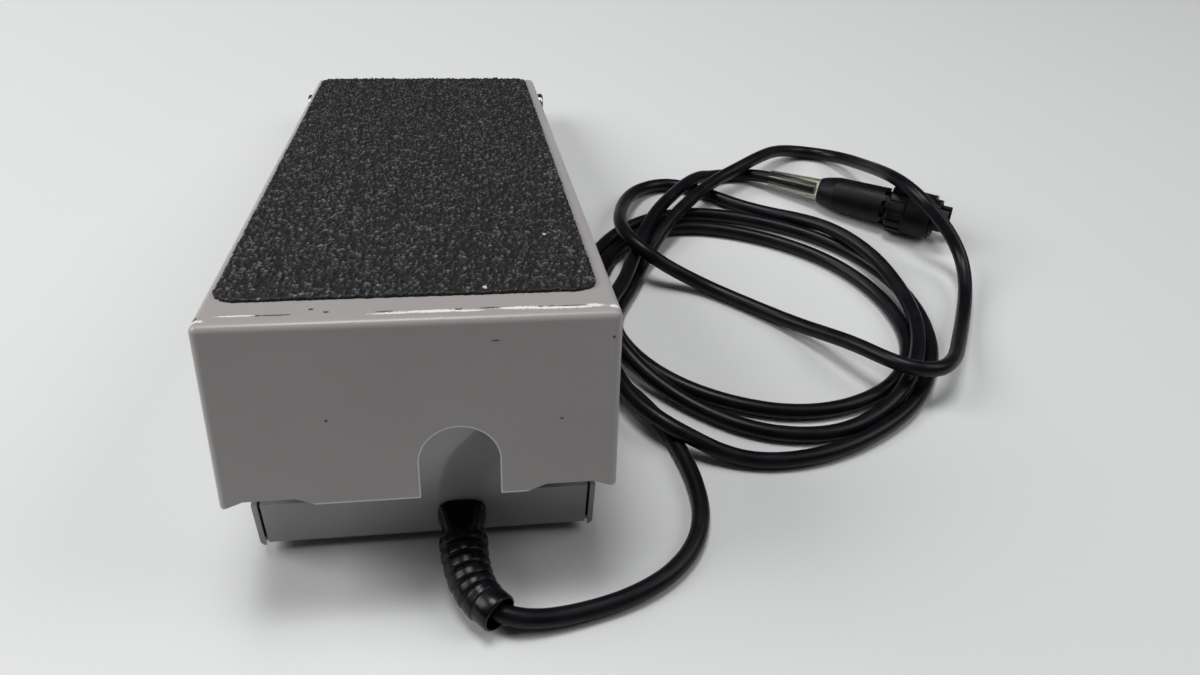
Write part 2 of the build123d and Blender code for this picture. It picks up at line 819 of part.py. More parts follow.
with BuildPart() as pot_nut:
    with BuildSketch(side.offset(bracket_x - washer_thickness)):
        with Locations(pinion_point):
            RegularPolygon(pot_nut_width / 2, 6, major_radius=False)
            Circle(bushing_diameter / 2, mode=Mode.SUBTRACT)
    extrude(amount=-pot_nut_height)
pot_nut.part.label = "pot_nut"
export_step(pot_nut.part, "parts/pot_nut.step")

bracket_top = pinion_height + bracket_top_margin
with BuildPart() as pot_bracket:
    with BuildSketch(Plane.XZ.offset(-pinion_y - bracket_width / 2)):
        with BuildLine():
            FilletPolyline(
                (bracket_x, bracket_top),
                (bracket_x, floor_z),
                (bracket_x + bracket_foot, floor_z),
                radius=bend,
            )
            FilletPolyline(
                (bracket_x + sheet, bracket_top),
                (bracket_x + sheet, floor_z + sheet),
                (bracket_x + bracket_foot, floor_z + sheet),
                radius=bend - sheet,
            )
            Line((bracket_x, bracket_top), (bracket_x + sheet, bracket_top))
            Line(
                (bracket_x + bracket_foot, floor_z),
                (bracket_x + bracket_foot, floor_z + sheet),
            )
        make_face()
    extrude(amount=bracket_width)
    upper_corners = pot_bracket.edges().filter_by(Axis.X).group_by(Axis.Z)[-1]
    fillet(upper_corners, radius=bracket_corner)
    with BuildSketch(side.offset(bracket_x)):
        with Locations(pinion_point):
            Circle(bushing_diameter / 2)
    extrude(amount=sheet, mode=Mode.SUBTRACT)
    with BuildSketch(Plane.XY.offset(floor_z)):
        with Locations(*bracket_screw_places):
            Circle(m3 / 2)
    extrude(amount=sheet, mode=Mode.SUBTRACT)
pot_bracket.part.label = "pot_bracket"
export_step(pot_bracket.part, "parts/pot_bracket.step")

with BuildPart() as bracket_screws:
    with BuildSketch(Plane.XY.offset(foot_height - m3_head_height)):
        with Locations(*bracket_screw_places):
            Circle(m3_head_diameter / 2)
    extrude(amount=m3_head_height)
    with BuildSketch(Plane.XY.offset(foot_height)):
        with Locations(*bracket_screw_places):
            Circle(m3 / 2)
    extrude(amount=m3_length - 2 * sheet)
bracket_screws.part.label = "bracket_screws"
export_step(bracket_screws.part, "parts/bracket_screws.step")

with BuildPart() as bracket_nuts:
    with BuildSketch(Plane.XY.offset(floor_z + sheet)):
        with Locations(*bracket_screw_places):
            RegularPolygon(m3_nut_width / 2, 6, major_radius=False)
            Circle(m3 / 2, mode=Mode.SUBTRACT)
    extrude(amount=m3_nut_height)
bracket_nuts.part.label = "bracket_nuts"
export_step(bracket_nuts.part, "parts/bracket_nuts.step")

# Return spring between a seat on the tray floor and a cup under the cover
spring_x = spring_inset - base_width / 2
spring_y = hinge_y - spring_reach
seat_top = floor_z + seat_flange
cup_bottom = underside_z(spring_y + seat_diameter / 2) - seat_flange
spring_place = (spring_x, spring_y)
with BuildPart() as spring_seat:
    with BuildSketch(Plane.XY.offset(floor_z)):
        with Locations(spring_place):
            Circle(seat_diameter / 2)
    extrude(amount=seat_flange)
    with BuildSketch(Plane.XY.offset(seat_top)):
        with Locations(spring_place):
            Circle(seat_post_diameter / 2)
    extrude(amount=seat_post_height)
    chamfer(spring_seat.edges().sort_by(Axis.Z)[-1], length=seat_flange / 2)
spring_seat.part.label = "spring_seat"
export_step(spring_seat.part, "parts/spring_seat.step")

with BuildPart() as spring_cup:
    with BuildSketch(Plane.XY.offset(cup_bottom)):
        with Locations(spring_place):
            Circle(seat_diameter / 2)
    extrude(amount=seat_diameter)
    with BuildSketch(Plane.XY.offset(cup_bottom)):
        with Locations(spring_place):
            Circle(seat_post_diameter / 2)
    extrude(amount=-seat_post_height)
    chamfer(spring_cup.edges().sort_by(Axis.Z)[0], length=seat_flange / 2)
    with BuildSketch(cover_side):
        with Locations((front_s / 2, top_n - sheet)):
            Rectangle(-front_s, front_height, align=(Align.CENTER, Align.MIN))
    extrude(amount=cover_width / 2, both=True, mode=Mode.SUBTRACT)
spring_cup.part.label = "spring_cup"
export_step(spring_cup.part, "parts/spring_cup.step")

coil_low = seat_top + seat_gap + spring_wire / 2
coil_high = cup_bottom - seat_gap - spring_wire / 2
with BuildPart() as return_spring:
    with BuildLine():
        coil_line = Helix(
            pitch=(coil_high - coil_low) / spring_turns,
            height=coil_high - coil_low,
            radius=spring_diameter / 2,
            center=(spring_x, spring_y, coil_low),
        )
    with BuildSketch(Plane(origin=coil_line @ 0, z_dir=coil_line % 0)):
        Circle(spring_wire / 2)
    sweep(is_frenet=True)
return_spring.part.label = "return_spring"
export_step(return_spring.part, "parts/return_spring.step")

# Cord route: hand-chosen points from inside the tray, through the strain relief, along the floor
lead_route = [
    (relief_x, wall_y + cord_inner_length, relief_z),
    (relief_x, wall_y - relief_straight_length, relief_z),
    (10.1, -138.0, 10.0),
    (12.4, -147.4, 8.4),
    (18.8, -152.4, 6.4),
    (28.8, -151.8, 4.1),
    (41.0, -149.4, 2.8),
    (55.0, -145.0, 2.8),
    (67.6, -138.3, 2.8),
    (77.0, -128.9, 2.8),
    (81.8, -117.0, 2.8),
    (82.2, -104.0, 2.8),
    (80.0, -91.2, 2.8),
    (76.4, -79.0, 2.8),
]
# Out of the coil's far side, over the plug, round past the coil's near side, across its middle,
# round again at its left and back into its far side: one wide loose turn
tail_route = [
    (106.0, 38.4, 8.6),
    (115.8, 50.2, 9.5),
    (126.8, 60.2, 9.5),
    (138.6, 69.4, 9.9),
    (150.2, 78.6, 9.7),
    (160.4, 87.6, 7.2),
    (170.4, 93.0, 4.0),
    (181.0, 92.8, 2.8),
    (190.4, 87.0, 3.6),
    (196.8, 77.6, 6.2),
    (199.9, 66.6, 11.4),
    (200.4, 54.6, 18.2),
    (199.6, 42.4, 24.4),
    (200.2, 29.6, 26.0),
    (203.9, 16.8, 23.4),
    (209.4, 4.8, 17.0),
    (212.6, -8.4, 9.2),
    (210.0, -22.4, 4.6),
    (203.0, -36.4, 4.8),
    (196.5, -49.6, 7.2),
    (190.1, -60.2, 10.2),
    (184.8, -66.8, 12.4),
    (178.3, -70.8, 14.2),
    (170.9, -71.8, 15.2),
    (163.4, -69.8, 15.4),
    (157.2, -65.0, 14.6),
    (150.2, -54.0, 12.0),
    (144.4, -44.6, 8.4),
    (137.0, -34.6, 4.8),
    (127.0, -24.0, 3.0),
    (112.5, -11.6, 2.8),
    (102.8, -4.8, 4.4),
    (94.2, -1.0, 8.0),
    (86.4, 2.2, 12.0),
    (80.2, 7.8, 14.2),
    (77.2, 16.0, 14.0),
    (76.8, 25.4, 12.2),
    (78.6, 36.6, 9.6),
    (82.6, 48.2, 6.8),
    (88.8, 58.0, 4.6),
    (97.0, 64.4, 3.2),
    (106.4, 66.4, 2.8),
    (116.0, 63.4, 2.8),
    (125.4, 57.2, 2.8),
    (135.6, 49.4, 3.0),
    (146.0, 41.6, 3.8),
    (156.4, 33.8, 5.4),
    (165.8, 24.4, 7.4),
    (173.2, 12.6, 8.0),
]


def route_radii(route):
    """The largest arc for each corner of a route that its two runs leave room for."""
    radii = []
    for before, corner, after in zip(route, route[1:], route[2:]):
        run_in = Vector(corner) - Vector(before)
        run_out = Vector(after) - Vector(corner)
        turn = radians(run_in.get_angle(run_out))
        radii.append(0.45 * min(run_in.length, run_out.length) / tan(turn / 2))
    return radii


def plug_point(along):
    """Point on the plug's axis, forward of its coupling ring."""
    return tuple(plug_frame.from_local_coords((0, 0, along)))


# Plug axis, lying on the floor with its cord end low
heading = radians(plug_heading)
pitch = radians(plug_pitch)
plug_direction = (cos(heading) * cos(pitch), sin(heading) * cos(pitch), sin(pitch))
plug_frame = Plane(
    origin=(plug_x, plug_y, plug_z), x_dir=(-sin(heading), cos(heading), 0), z_dir=plug_direction
)
plug_section = Plane(
    origin=(plug_x, plug_y, plug_z), x_dir=plug_direction, z_dir=(-sin(heading), cos(heading), 0)
)
plug_axis = Axis((plug_x, plug_y, plug_z), plug_direction)
ring_end = ring_start + ring_length
backshell_front = ring_start - backshell_gap
backshell_rear = backshell_front - backshell_length
sleeve_front = backshell_rear + sleeve_insert
sleeve_rear = sleeve_front - sleeve_length
plug_route = [
    plug_point(backshell_rear + cord_in_backshell),
    plug_point(sleeve_rear - sleeve_insert),
    (146.0, 71.7, 4.2),
    (139.3, 74.0, 3.1),
    (132.2, 73.9, 2.9),
    (125.6, 71.3, 4.8),
    (119.6, 66.6, 8.2),
    (112.4, 58.6, 9.6),
    (103.6, 47.0, 9.6),
    (95.4, 34.0, 8.6),
]

for name, route in (
    ("cord_lead", lead_route),
    ("cord_tail", tail_route),
    ("cord_plug_end", plug_route),
):
    print(name, "radii", [round(radius, 1) for radius in route_radii(route)])
    with BuildPart() as tube:
        with BuildLine() as tube_path:
            FilletPolyline(*route, radius=route_radii(route))
        spine = tube_path.wires()[0]
        with BuildSketch(Plane(origin=spine @ 0, z_dir=spine % 0)):
            Circle(cord_diameter / 2)
        sweep()
    print(name, "length", round(spine.length, 1))
    section = pi * cord_diameter**2 / 4
    print(name, "volume share", tube.part.volume / (section * spine.length))
    tube.part.label = name
    export_step(tube.part, "parts/" + name + ".step")

# The coil: its turns as one flat ring beside the pedal, wider than it is deep where they fan out
with BuildPart() as cord_coil:
    with BuildSketch():
        with Locations((coil_x, coil_y)):
            Ellipse(coil_half_x, coil_half_y)
        with Locations((coil_x + coil_hole_shift_x, coil_y + coil_hole_shift_y)):
            Ellipse(coil_hole_half_x, coil_hole_half_y, mode=Mode.SUBTRACT)
    extrude(amount=coil_height)
    fillet(cord_coil.faces().sort_by(Axis.Z)[-1].edges(), radius=cord_diameter / 2)
cord_coil.part.label = "cord_coil"
export_step(cord_coil.part, "parts/cord_coil.step")

# Strain relief: a moulded bush snapped into the front wall, flared at the wall, ribbed along
# the cord's first bend and open at its mouth, where the cord leaves it
relief_start = wall_y + sheet + relief_flange_length
relief_route = [(relief_x, relief_start, relief_z), *lead_route[1:4]]
relief_end = Vector(lead_route[3]) + (Vector(lead_route[4]) - Vector(lead_route[3])) / 2
relief_route.append(tuple(relief_end))
relief_radii = route_radii(lead_route)[:3]
with BuildPart() as strain_relief:
    with BuildLine() as relief_path:
        FilletPolyline(*relief_route, radius=relief_radii)
    relief_spine = relief_path.wires()[0]
    with BuildSketch(Plane(origin=relief_spine @ 0, z_dir=relief_spine % 0)):
        Circle(relief_body_diameter / 2)
    sweep()
    with BuildSketch(Plane.XZ.offset(-wall_y)):
        with Locations((relief_x, relief_z)):
            RectangleRounded(relief_collar_width, relief_collar_width, relief_collar_width / 3)
    extrude(amount=relief_collar_length, taper=relief_collar_taper)
    with BuildSketch(Plane.XZ.offset(-wall_y)):
        with Locations((relief_x, relief_z)):
            Circle(relief_neck_diameter / 2)
    extrude(amount=-sheet)
    with BuildSketch(Plane.XZ.offset(-wall_y - sheet)):
        with Locations((relief_x, relief_z)):
            Circle(relief_flange_diameter / 2)
    extrude(amount=-relief_flange_length)
    first_rib = relief_start - wall_y + relief_collar_length + relief_rib_width
    for rib in range(relief_ribs):
        share = (first_rib + rib * relief_rib_pitch) / relief_spine.length
        with BuildSketch(Plane(origin=relief_spine @ share, z_dir=relief_spine % share)):
            Circle(relief_rib_diameter / 2)
        extrude(amount=relief_rib_width / 2, both=True)
    with BuildLine():
        bore_spine = FilletPolyline(*relief_route, radius=relief_radii)
    with BuildSketch(Plane(origin=bore_spine @ 0, z_dir=bore_spine % 0)):
        Circle(relief_bore / 2)
    sweep(path=bore_spine, mode=Mode.SUBTRACT)
    mouth_share = 1 - relief_mouth_length / relief_spine.length
    with BuildSketch(Plane(origin=relief_spine @ mouth_share, z_dir=relief_spine % mouth_share)):
        Circle(relief_mouth_diameter / 2)
    extrude(amount=relief_rib_pitch, mode=Mode.SUBTRACT)
strain_relief.part.label = "strain_relief"
export_step(strain_relief.part, "parts/strain_relief.step")

# Wires from the cord's inner end to the potentiometer's lugs
cord_end_y = lead_route[0][1]
with BuildPart() as lead_wires:
    for k in (-1, 0, 1):
        wire_x = lug_x + 2 * k * wire_diameter
        wire_route = [
            (relief_x + k * wire_pitch, cord_end_y, relief_z),
            (relief_x + k * wire_pitch, cord_end_y + lug_length, relief_z),
            (wire_x, cord_end_y + 3 * lug_length, lug_bottom - lug_pitch),
            (wire_x, lug_places[k + 1][1] - lug_pitch, lug_bottom - lug_pitch),
            (lug_x, lug_places[k + 1][1], lug_bottom - lug_pitch / 2),
            (lug_x, lug_places[k + 1][1], lug_bottom),
        ]
        with BuildLine():
            wire_line = FilletPolyline(*wire_route, radius=wire_diameter)
        with BuildSketch(Plane(origin=wire_line @ 0, z_dir=wire_line % 0)):
            Circle(wire_diameter / 2)
        sweep(path=wire_line)
lead_wires.part.label = "lead_wires"
export_step(lead_wires.part, "parts/lead_wires.step")

# Plug, from the cord end forwards: clear sleeve, backshell, insert with its keyed shell,
# contacts, and the ribbed coupling ring that turns on the shell
with BuildPart() as clear_sleeve:
    with BuildSketch(plug_section):
        with BuildLine():
            Polyline(
                (sleeve_rear, sleeve_rear_diameter / 2 - sleeve_wall),
                (sleeve_rear, sleeve_rear_diameter / 2),
                (sleeve_front, sleeve_front_diameter / 2),
                (sleeve_front, sleeve_front_diameter / 2 - sleeve_wall),
                close=True,
            )
        make_face()
    revolve(axis=plug_axis)
clear_sleeve.part.label = "clear_sleeve"
export_step(clear_sleeve.part, "parts/clear_sleeve.step")

shell_radius = ring_bore / 2 - ring_running_gap
neck_radius = backshell_front_diameter / 2 - backshell_wall
neck_rear = backshell_front - backshell_wall * 2
with BuildPart() as plug_backshell:
    with BuildSketch(plug_section):
        with BuildLine():
            Polyline(
                (backshell_rear, sleeve_front_diameter / 2 + face_gap),
                (backshell_rear, backshell_rear_diameter / 2),
                (backshell_rear + sleeve_insert, backshell_rear_diameter / 2 + backshell_wall / 2),
                (backshell_rear + backshell_length / 4, backshell_middle_diameter / 2),
                (backshell_front, backshell_front_diameter / 2),
                (backshell_front, neck_radius + face_gap),
                (neck_rear, neck_radius + face_gap),
                (backshell_rear + backshell_length / 3, backshell_middle_diameter / 2 - backshell_wall),
                (backshell_rear + backshell_length / 4, relief_bore / 2),
                (sleeve_front + face_gap, relief_bore / 2),
                (sleeve_front + face_gap, sleeve_front_diameter / 2 + face_gap),
                close=True,
            )
        make_face()
    revolve(axis=plug_axis)
    # Ratchet notches in the front edge
    with BuildSketch(plug_frame.offset(backshell_front)):
        with PolarLocations(backshell_front_diameter / 2, ratchet_teeth):
            Rectangle(3 * backshell_wall, pi * backshell_front_diameter / ratchet_teeth / 2)
    extrude(amount=-ratchet_depth, mode=Mode.SUBTRACT)
plug_backshell.part.label = "plug_backshell"
export_step(plug_backshell.part, "parts/plug_backshell.step")

shell_front = ring_end + shell_reach
with BuildPart() as plug_shell:
    with BuildSketch(plug_section):
        with BuildLine():
            Polyline(
                (neck_rear, 0),
                (neck_rear, neck_radius),
                (ring_start, neck_radius),
                (ring_start, shell_radius),
                (shell_front, shell_radius),
                (shell_front, shell_radius - shell_wall),
                (insert_face, shell_radius - shell_wall),
                (insert_face, 0),
                close=True,
            )
        make_face()
    revolve(axis=plug_axis)
    # The shell's front edge steps back over two stretches, which leaves keyed skirts
    for start_angle, sweep_angle, step_depth in (
        (skirt_angle_low, skirt_angle_width, skirt_depth_low),
        (skirt_angle_high, skirt_angle_width, skirt_depth_high),
    ):
        with BuildSketch(plug_frame.offset(shell_front)):
            with BuildLine():
                step_arc = CenterArc((0, 0), ring_diameter, start_angle, sweep_angle)
                Line((0, 0), step_arc @ 0)
                Line(step_arc @ 1, (0, 0))
            make_face()
        extrude(amount=-step_depth, mode=Mode.SUBTRACT)
    # Contact holes
    with BuildSketch(plug_frame.offset(neck_rear)):
        with PolarLocations(contact_circle / 2, contact_count):
            Circle(contact_diameter / 2)
    extrude(amount=shell_front - neck_rear, mode=Mode.SUBTRACT)
plug_shell.part.label = "plug_shell"
export_step(plug_shell.part, "parts/plug_shell.step")

with BuildPart() as plug_contacts:
    with BuildSketch(plug_frame.offset(neck_rear)):
        with PolarLocations(contact_circle / 2, contact_count):
            Circle(contact_diameter / 2)
    extrude(amount=insert_face + contact_reach - neck_rear)
plug_contacts.part.label = "plug_contacts"
export_step(plug_contacts.part, "parts/plug_contacts.step")

with BuildPart() as coupling_ring:
    with BuildSketch(plug_section):
        with BuildLine():
            Polyline(
                (ring_start, ring_bore / 2),
                (ring_start, ring_diameter / 2 - ring_rib_depth),
                (ring_start + ring_rib_depth, ring_diameter / 2),
                (ring_start + ring_band, ring_diameter / 2),
                (ring_start + ring_band + ring_rib_depth, ring_front_diameter / 2),
                (ring_end, ring_front_diameter / 2),
                (ring_end, ring_bore / 2),
                close=True,
            )
        make_face()
    revolve(axis=plug_axis)
    with BuildSketch(plug_frame.offset(ring_start)):
        with PolarLocations(ring_diameter / 2, ring_ribs):
            Rectangle(2 * ring_rib_depth, pi * ring_diameter / ring_ribs - ring_rib_width)
    extrude(amount=ring_band, mode=Mode.SUBTRACT)
    # Bayonet windows and notches of the front edge
    with BuildSketch(plug_frame.offset(ring_end)):
        with PolarLocations(ring_front_diameter / 2, bayonet_count):
            Rectangle(3 * shell_wall, bayonet_width)
    extrude(amount=-bayonet_depth, mode=Mode.SUBTRACT)
coupling_ring.part.label = "coupling_ring"
export_step(coupling_ring.part, "parts/coupling_ring.step")
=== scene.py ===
import math

import bmesh
import bpy
from mathutils import Matrix, Vector


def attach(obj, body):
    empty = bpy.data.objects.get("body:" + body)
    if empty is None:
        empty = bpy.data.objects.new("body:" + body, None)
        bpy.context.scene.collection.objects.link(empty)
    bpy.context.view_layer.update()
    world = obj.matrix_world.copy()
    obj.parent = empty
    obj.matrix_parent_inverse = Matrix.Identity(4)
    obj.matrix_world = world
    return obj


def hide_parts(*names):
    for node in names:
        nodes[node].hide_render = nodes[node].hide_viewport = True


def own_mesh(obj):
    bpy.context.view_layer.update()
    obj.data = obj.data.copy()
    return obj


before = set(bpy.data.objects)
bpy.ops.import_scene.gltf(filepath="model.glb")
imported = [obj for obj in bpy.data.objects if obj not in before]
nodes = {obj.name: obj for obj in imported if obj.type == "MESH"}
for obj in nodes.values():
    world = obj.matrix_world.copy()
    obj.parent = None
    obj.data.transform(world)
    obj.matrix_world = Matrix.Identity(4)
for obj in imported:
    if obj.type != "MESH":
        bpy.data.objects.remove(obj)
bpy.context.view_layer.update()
scene = bpy.context.scene

# The camera stands in front of the cord end and looks down on the pedal.
# It is a hand-held view, so it is also turned aside and rolled a little.
camera_data = bpy.data.cameras.new("camera")
camera_data.sensor_width = 36.0
camera_data.lens = 28.78
camera = bpy.data.objects.new("camera", camera_data)
scene.collection.objects.link(camera)
camera_stand = Vector((0.01141, -0.29374, 0.23354))
turned = -0.1898
pitched = -0.7184
rolled = -0.0854
camera_turn = (
    Matrix.Rotation(turned, 4, "Z")
    @ Matrix.Rotation(pitched, 4, "X")
    @ Matrix.Rotation(rolled, 4, "Y")
    @ Matrix.Rotation(math.radians(90), 4, "X")
)
camera.matrix_world = Matrix.Translation(camera_stand) @ camera_turn
scene.camera = camera

# The cord: one round black flexible lead, from inside the tray through the strain relief, twice round
# its coil, once round in a wide loose loop that strays over the plug, once more round, and to the plug.
cord_diameter = 0.0055
cord_points = [
    # out through the relief and round on the floor to the coil
    (0.0093, -0.1040, 0.0115),
    (0.0093, -0.1250, 0.0110),
    (0.0099, -0.1340, 0.0092),
    (0.0119, -0.1412, 0.0076),
    (0.0160, -0.1467, 0.0065),
    (0.0226, -0.1497, 0.0055),
    (0.0310, -0.1497, 0.0038),
    (0.0420, -0.1478, 0.0028),
    (0.0550, -0.1445, 0.0028),
    (0.0676, -0.1383, 0.0028),
    (0.0770, -0.1289, 0.0028),
    (0.0818, -0.1170, 0.0028),
    (0.0822, -0.1040, 0.0028),
    (0.0800, -0.0912, 0.0028),
    (0.0764, -0.0790, 0.0028),
    (0.0700, -0.0665, 0.0028),
    (0.0625, -0.0560, 0.0028),
    (0.0566, -0.0440, 0.0028),
    (0.0550, -0.0300, 0.0028),
    (0.0550, -0.0150, 0.0028),
    (0.0578, -0.0010, 0.0028),
    (0.0625, 0.0110, 0.0028),
    # first turn, the widest
    (0.0695, 0.0220, 0.0028),
    (0.0790, 0.0325, 0.0028),
    (0.0925, 0.0405, 0.0028),
    (0.1100, 0.0442, 0.0028),
    (0.1280, 0.0412, 0.0028),
    (0.1450, 0.0345, 0.0028),
    (0.1600, 0.0258, 0.0028),
    (0.1735, 0.0130, 0.0028),
    (0.1825, -0.0020, 0.0028),
    (0.1870, -0.0180, 0.0028),
    (0.1875, -0.0340, 0.0028),
    (0.1840, -0.0500, 0.0028),
    (0.1765, -0.0640, 0.0028),
    (0.1680, -0.0745, 0.0028),
    (0.1590, -0.0820, 0.0028),
    (0.1480, -0.0885, 0.0028),
    (0.1370, -0.0935, 0.0028),
    (0.1240, -0.0972, 0.0028),
    (0.1115, -0.0982, 0.0028),
    (0.1015, -0.0970, 0.0030),
    (0.0925, -0.0940, 0.0042),
    (0.0840, -0.0900, 0.0070),
    (0.0760, -0.0845, 0.0086),
    (0.0690, -0.0760, 0.0086),
    (0.0645, -0.0665, 0.0086),
    (0.0622, -0.0560, 0.0086),
    (0.0612, -0.0440, 0.0060),
    (0.0612, -0.0310, 0.0032),
    (0.0613, -0.0180, 0.0028),
    (0.0635, -0.0040, 0.0028),
    # second turn, inside the first
    (0.0690, 0.0095, 0.0028),
    (0.0745, 0.0185, 0.0028),
    (0.0810, 0.0250, 0.0028),
    (0.0890, 0.0298, 0.0028),
    (0.0985, 0.0328, 0.0028),
    (0.1090, 0.0338, 0.0028),
    (0.1195, 0.0320, 0.0028),
    (0.1320, 0.0278, 0.0028),
    (0.1460, 0.0205, 0.0028),
    (0.1590, 0.0105, 0.0028),
    (0.1690, -0.0020, 0.0028),
    (0.1755, -0.0165, 0.0028),
    (0.1780, -0.0310, 0.0028),
    (0.1768, -0.0440, 0.0028),
    (0.1715, -0.0560, 0.0028),
    (0.1620, -0.0665, 0.0028),
    (0.1490, -0.0735, 0.0028),
    (0.1360, -0.0768, 0.0028),
    (0.1230, -0.0770, 0.0028),
    (0.1110, -0.0745, 0.0028),
    (0.0980, -0.0692, 0.0028),
    (0.0858, -0.0612, 0.0028),
    (0.0765, -0.0515, 0.0028),
    (0.0700, -0.0405, 0.0028),
    (0.0672, -0.0300, 0.0028),
    (0.0690, -0.0210, 0.0028),
    # across the far side, over the plug and round in a loose loop
    (0.0730, -0.0135, 0.0028),
    (0.0766, -0.0075, 0.0029),
    (0.0805, 0.0006, 0.0030),
    (0.0846, 0.0084, 0.0040),
    (0.0895, 0.0166, 0.0058),
    (0.0952, 0.0250, 0.0080),
    (0.1024, 0.0345, 0.0093),
    (0.1110, 0.0447, 0.0096),
    (0.1198, 0.0543, 0.0096),
    (0.1282, 0.0620, 0.0096),
    (0.1386, 0.0694, 0.0099),
    (0.1502, 0.0786, 0.0097),
    (0.1604, 0.0876, 0.0072),
    (0.1704, 0.0930, 0.0040),
    (0.1810, 0.0928, 0.0028),
    (0.1896, 0.0868, 0.0044),
    (0.1940, 0.0765, 0.0082),
    (0.1955, 0.0628, 0.0136),
    (0.1955, 0.0488, 0.0196),
    (0.1957, 0.0350, 0.0246),
    (0.1974, 0.0246, 0.0264),
    (0.2003, 0.0164, 0.0256),
    (0.2046, 0.0101, 0.0224),
    (0.2093, 0.0050, 0.0176),
    (0.2126, -0.0010, 0.0126),
    (0.2130, -0.0090, 0.0084),
    (0.2095, -0.0205, 0.0054),
    (0.2016, -0.0356, 0.0052),
    (0.1930, -0.0500, 0.0078),
    (0.1868, -0.0600, 0.0104),
    (0.1815, -0.0662, 0.0126),
    (0.1760, -0.0705, 0.0142),
    (0.1700, -0.0720, 0.0152),
    (0.1636, -0.0706, 0.0154),
    (0.1578, -0.0655, 0.0146),
    (0.1502, -0.0540, 0.0120),
    (0.1444, -0.0446, 0.0084),
    (0.1370, -0.0346, 0.0048),
    (0.1270, -0.0240, 0.0030),
    (0.1125, -0.0116, 0.0028),
    (0.1045, -0.0062, 0.0040),
    (0.0968, -0.0030, 0.0068),
    (0.0894, -0.0006, 0.0104),
    (0.0834, 0.0032, 0.0134),
    (0.0790, 0.0088, 0.0146),
    (0.0768, 0.0165, 0.0141),
    (0.0768, 0.0260, 0.0122),
    (0.0790, 0.0370, 0.0094),
    (0.0830, 0.0490, 0.0068),
    (0.0890, 0.0590, 0.0046),
    (0.0970, 0.0655, 0.0032),
    (0.1062, 0.0674, 0.0028),
    (0.1155, 0.0636, 0.0028),
    (0.1240, 0.0572, 0.0028),
    (0.1345, 0.0490, 0.0028),
    (0.1455, 0.0420, 0.0034),
    (0.1560, 0.0345, 0.0054),
    (0.1650, 0.0250, 0.0078),
    (0.1728, 0.0140, 0.0086),
    (0.1785, 0.0010, 0.0086),
    (0.1815, -0.0130, 0.0080),
    (0.1824, -0.0270, 0.0076),
    (0.1804, -0.0410, 0.0078),
    (0.1750, -0.0550, 0.0078),
    (0.1675, -0.0672, 0.0070),
    (0.1582, -0.0766, 0.0046),
    (0.1460, -0.0835, 0.0029),
    (0.1350, -0.0872, 0.0028),
    (0.1240, -0.0878, 0.0028),
    (0.1120, -0.0858, 0.0028),
    (0.1010, -0.0810, 0.0028),
    (0.0900, -0.0732, 0.0030),
    (0.0810, -0.0650, 0.0042),
    (0.0735, -0.0570, 0.0062),
    (0.0680, -0.0480, 0.0080),
    (0.0650, -0.0380, 0.0086),
    (0.0648, -0.0280, 0.0086),
    (0.0675, -0.0190, 0.0086),
    # alongside the loose loop and back to the plug
    (0.0712, -0.0130, 0.0085),
    (0.0750, -0.0058, 0.0085),
    (0.0788, 0.0035, 0.0087),
    (0.0827, 0.0128, 0.0090),
    (0.0880, 0.0246, 0.0098),
    (0.0945, 0.0360, 0.0104),
    (0.1030, 0.0474, 0.0100),
    (0.1120, 0.0584, 0.0092),
    (0.1196, 0.0666, 0.0070),
    (0.1256, 0.0713, 0.0040),
    (0.1322, 0.0739, 0.0029),
    (0.1393, 0.0740, 0.0031),
    (0.1460, 0.0717, 0.0042),
    (0.1524, 0.0669, 0.0059),
    (0.1700, 0.0539, 0.0077),
]
# Each point carries the cord's own radius, and the round section is drawn at one unit of it
cord_line = bpy.data.curves.new("cord", "CURVE")
cord_line.dimensions = "3D"
spline = cord_line.splines.new("NURBS")
spline.points.add(len(cord_points) - 1)
for point, place in zip(spline.points, cord_points):
    point.co = (*place, 1.0)
    point.radius = cord_diameter / 2
spline.order_u = 3
spline.use_endpoint_u = True
spline.resolution_u = 6
cord_line.bevel_depth = 1.0
cord_line.bevel_resolution = 5
cord_line.use_fill_caps = True
cord = bpy.data.objects.new("cord", cord_line)
scene.collection.objects.link(cord)
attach(cord, "base")
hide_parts(*[name for name in nodes if name.startswith("cord_")])

# The cord's jacket is smooth soft vinyl with a low sheen, scuffed and dusted in patches. Every moulded
# rubber, nylon and vinyl piece shares this mottled surface, with its own colours and gloss.


def surface_group(name, colours, measures):
    """A node group with these inputs, which puts out a colour, a roughness and a height."""
    group = bpy.data.node_groups.new(name, "ShaderNodeTree")
    for socket in colours:
        group.interface.new_socket(socket, in_out="INPUT", socket_type="NodeSocketColor")
    for socket in measures:
        group.interface.new_socket(socket, in_out="INPUT", socket_type="NodeSocketFloat")
    group.interface.new_socket("Colour", in_out="OUTPUT", socket_type="NodeSocketColor")
    group.interface.new_socket("Roughness", in_out="OUTPUT", socket_type="NodeSocketFloat")
    group.interface.new_socket("Height", in_out="OUTPUT", socket_type="NodeSocketFloat")
    return group


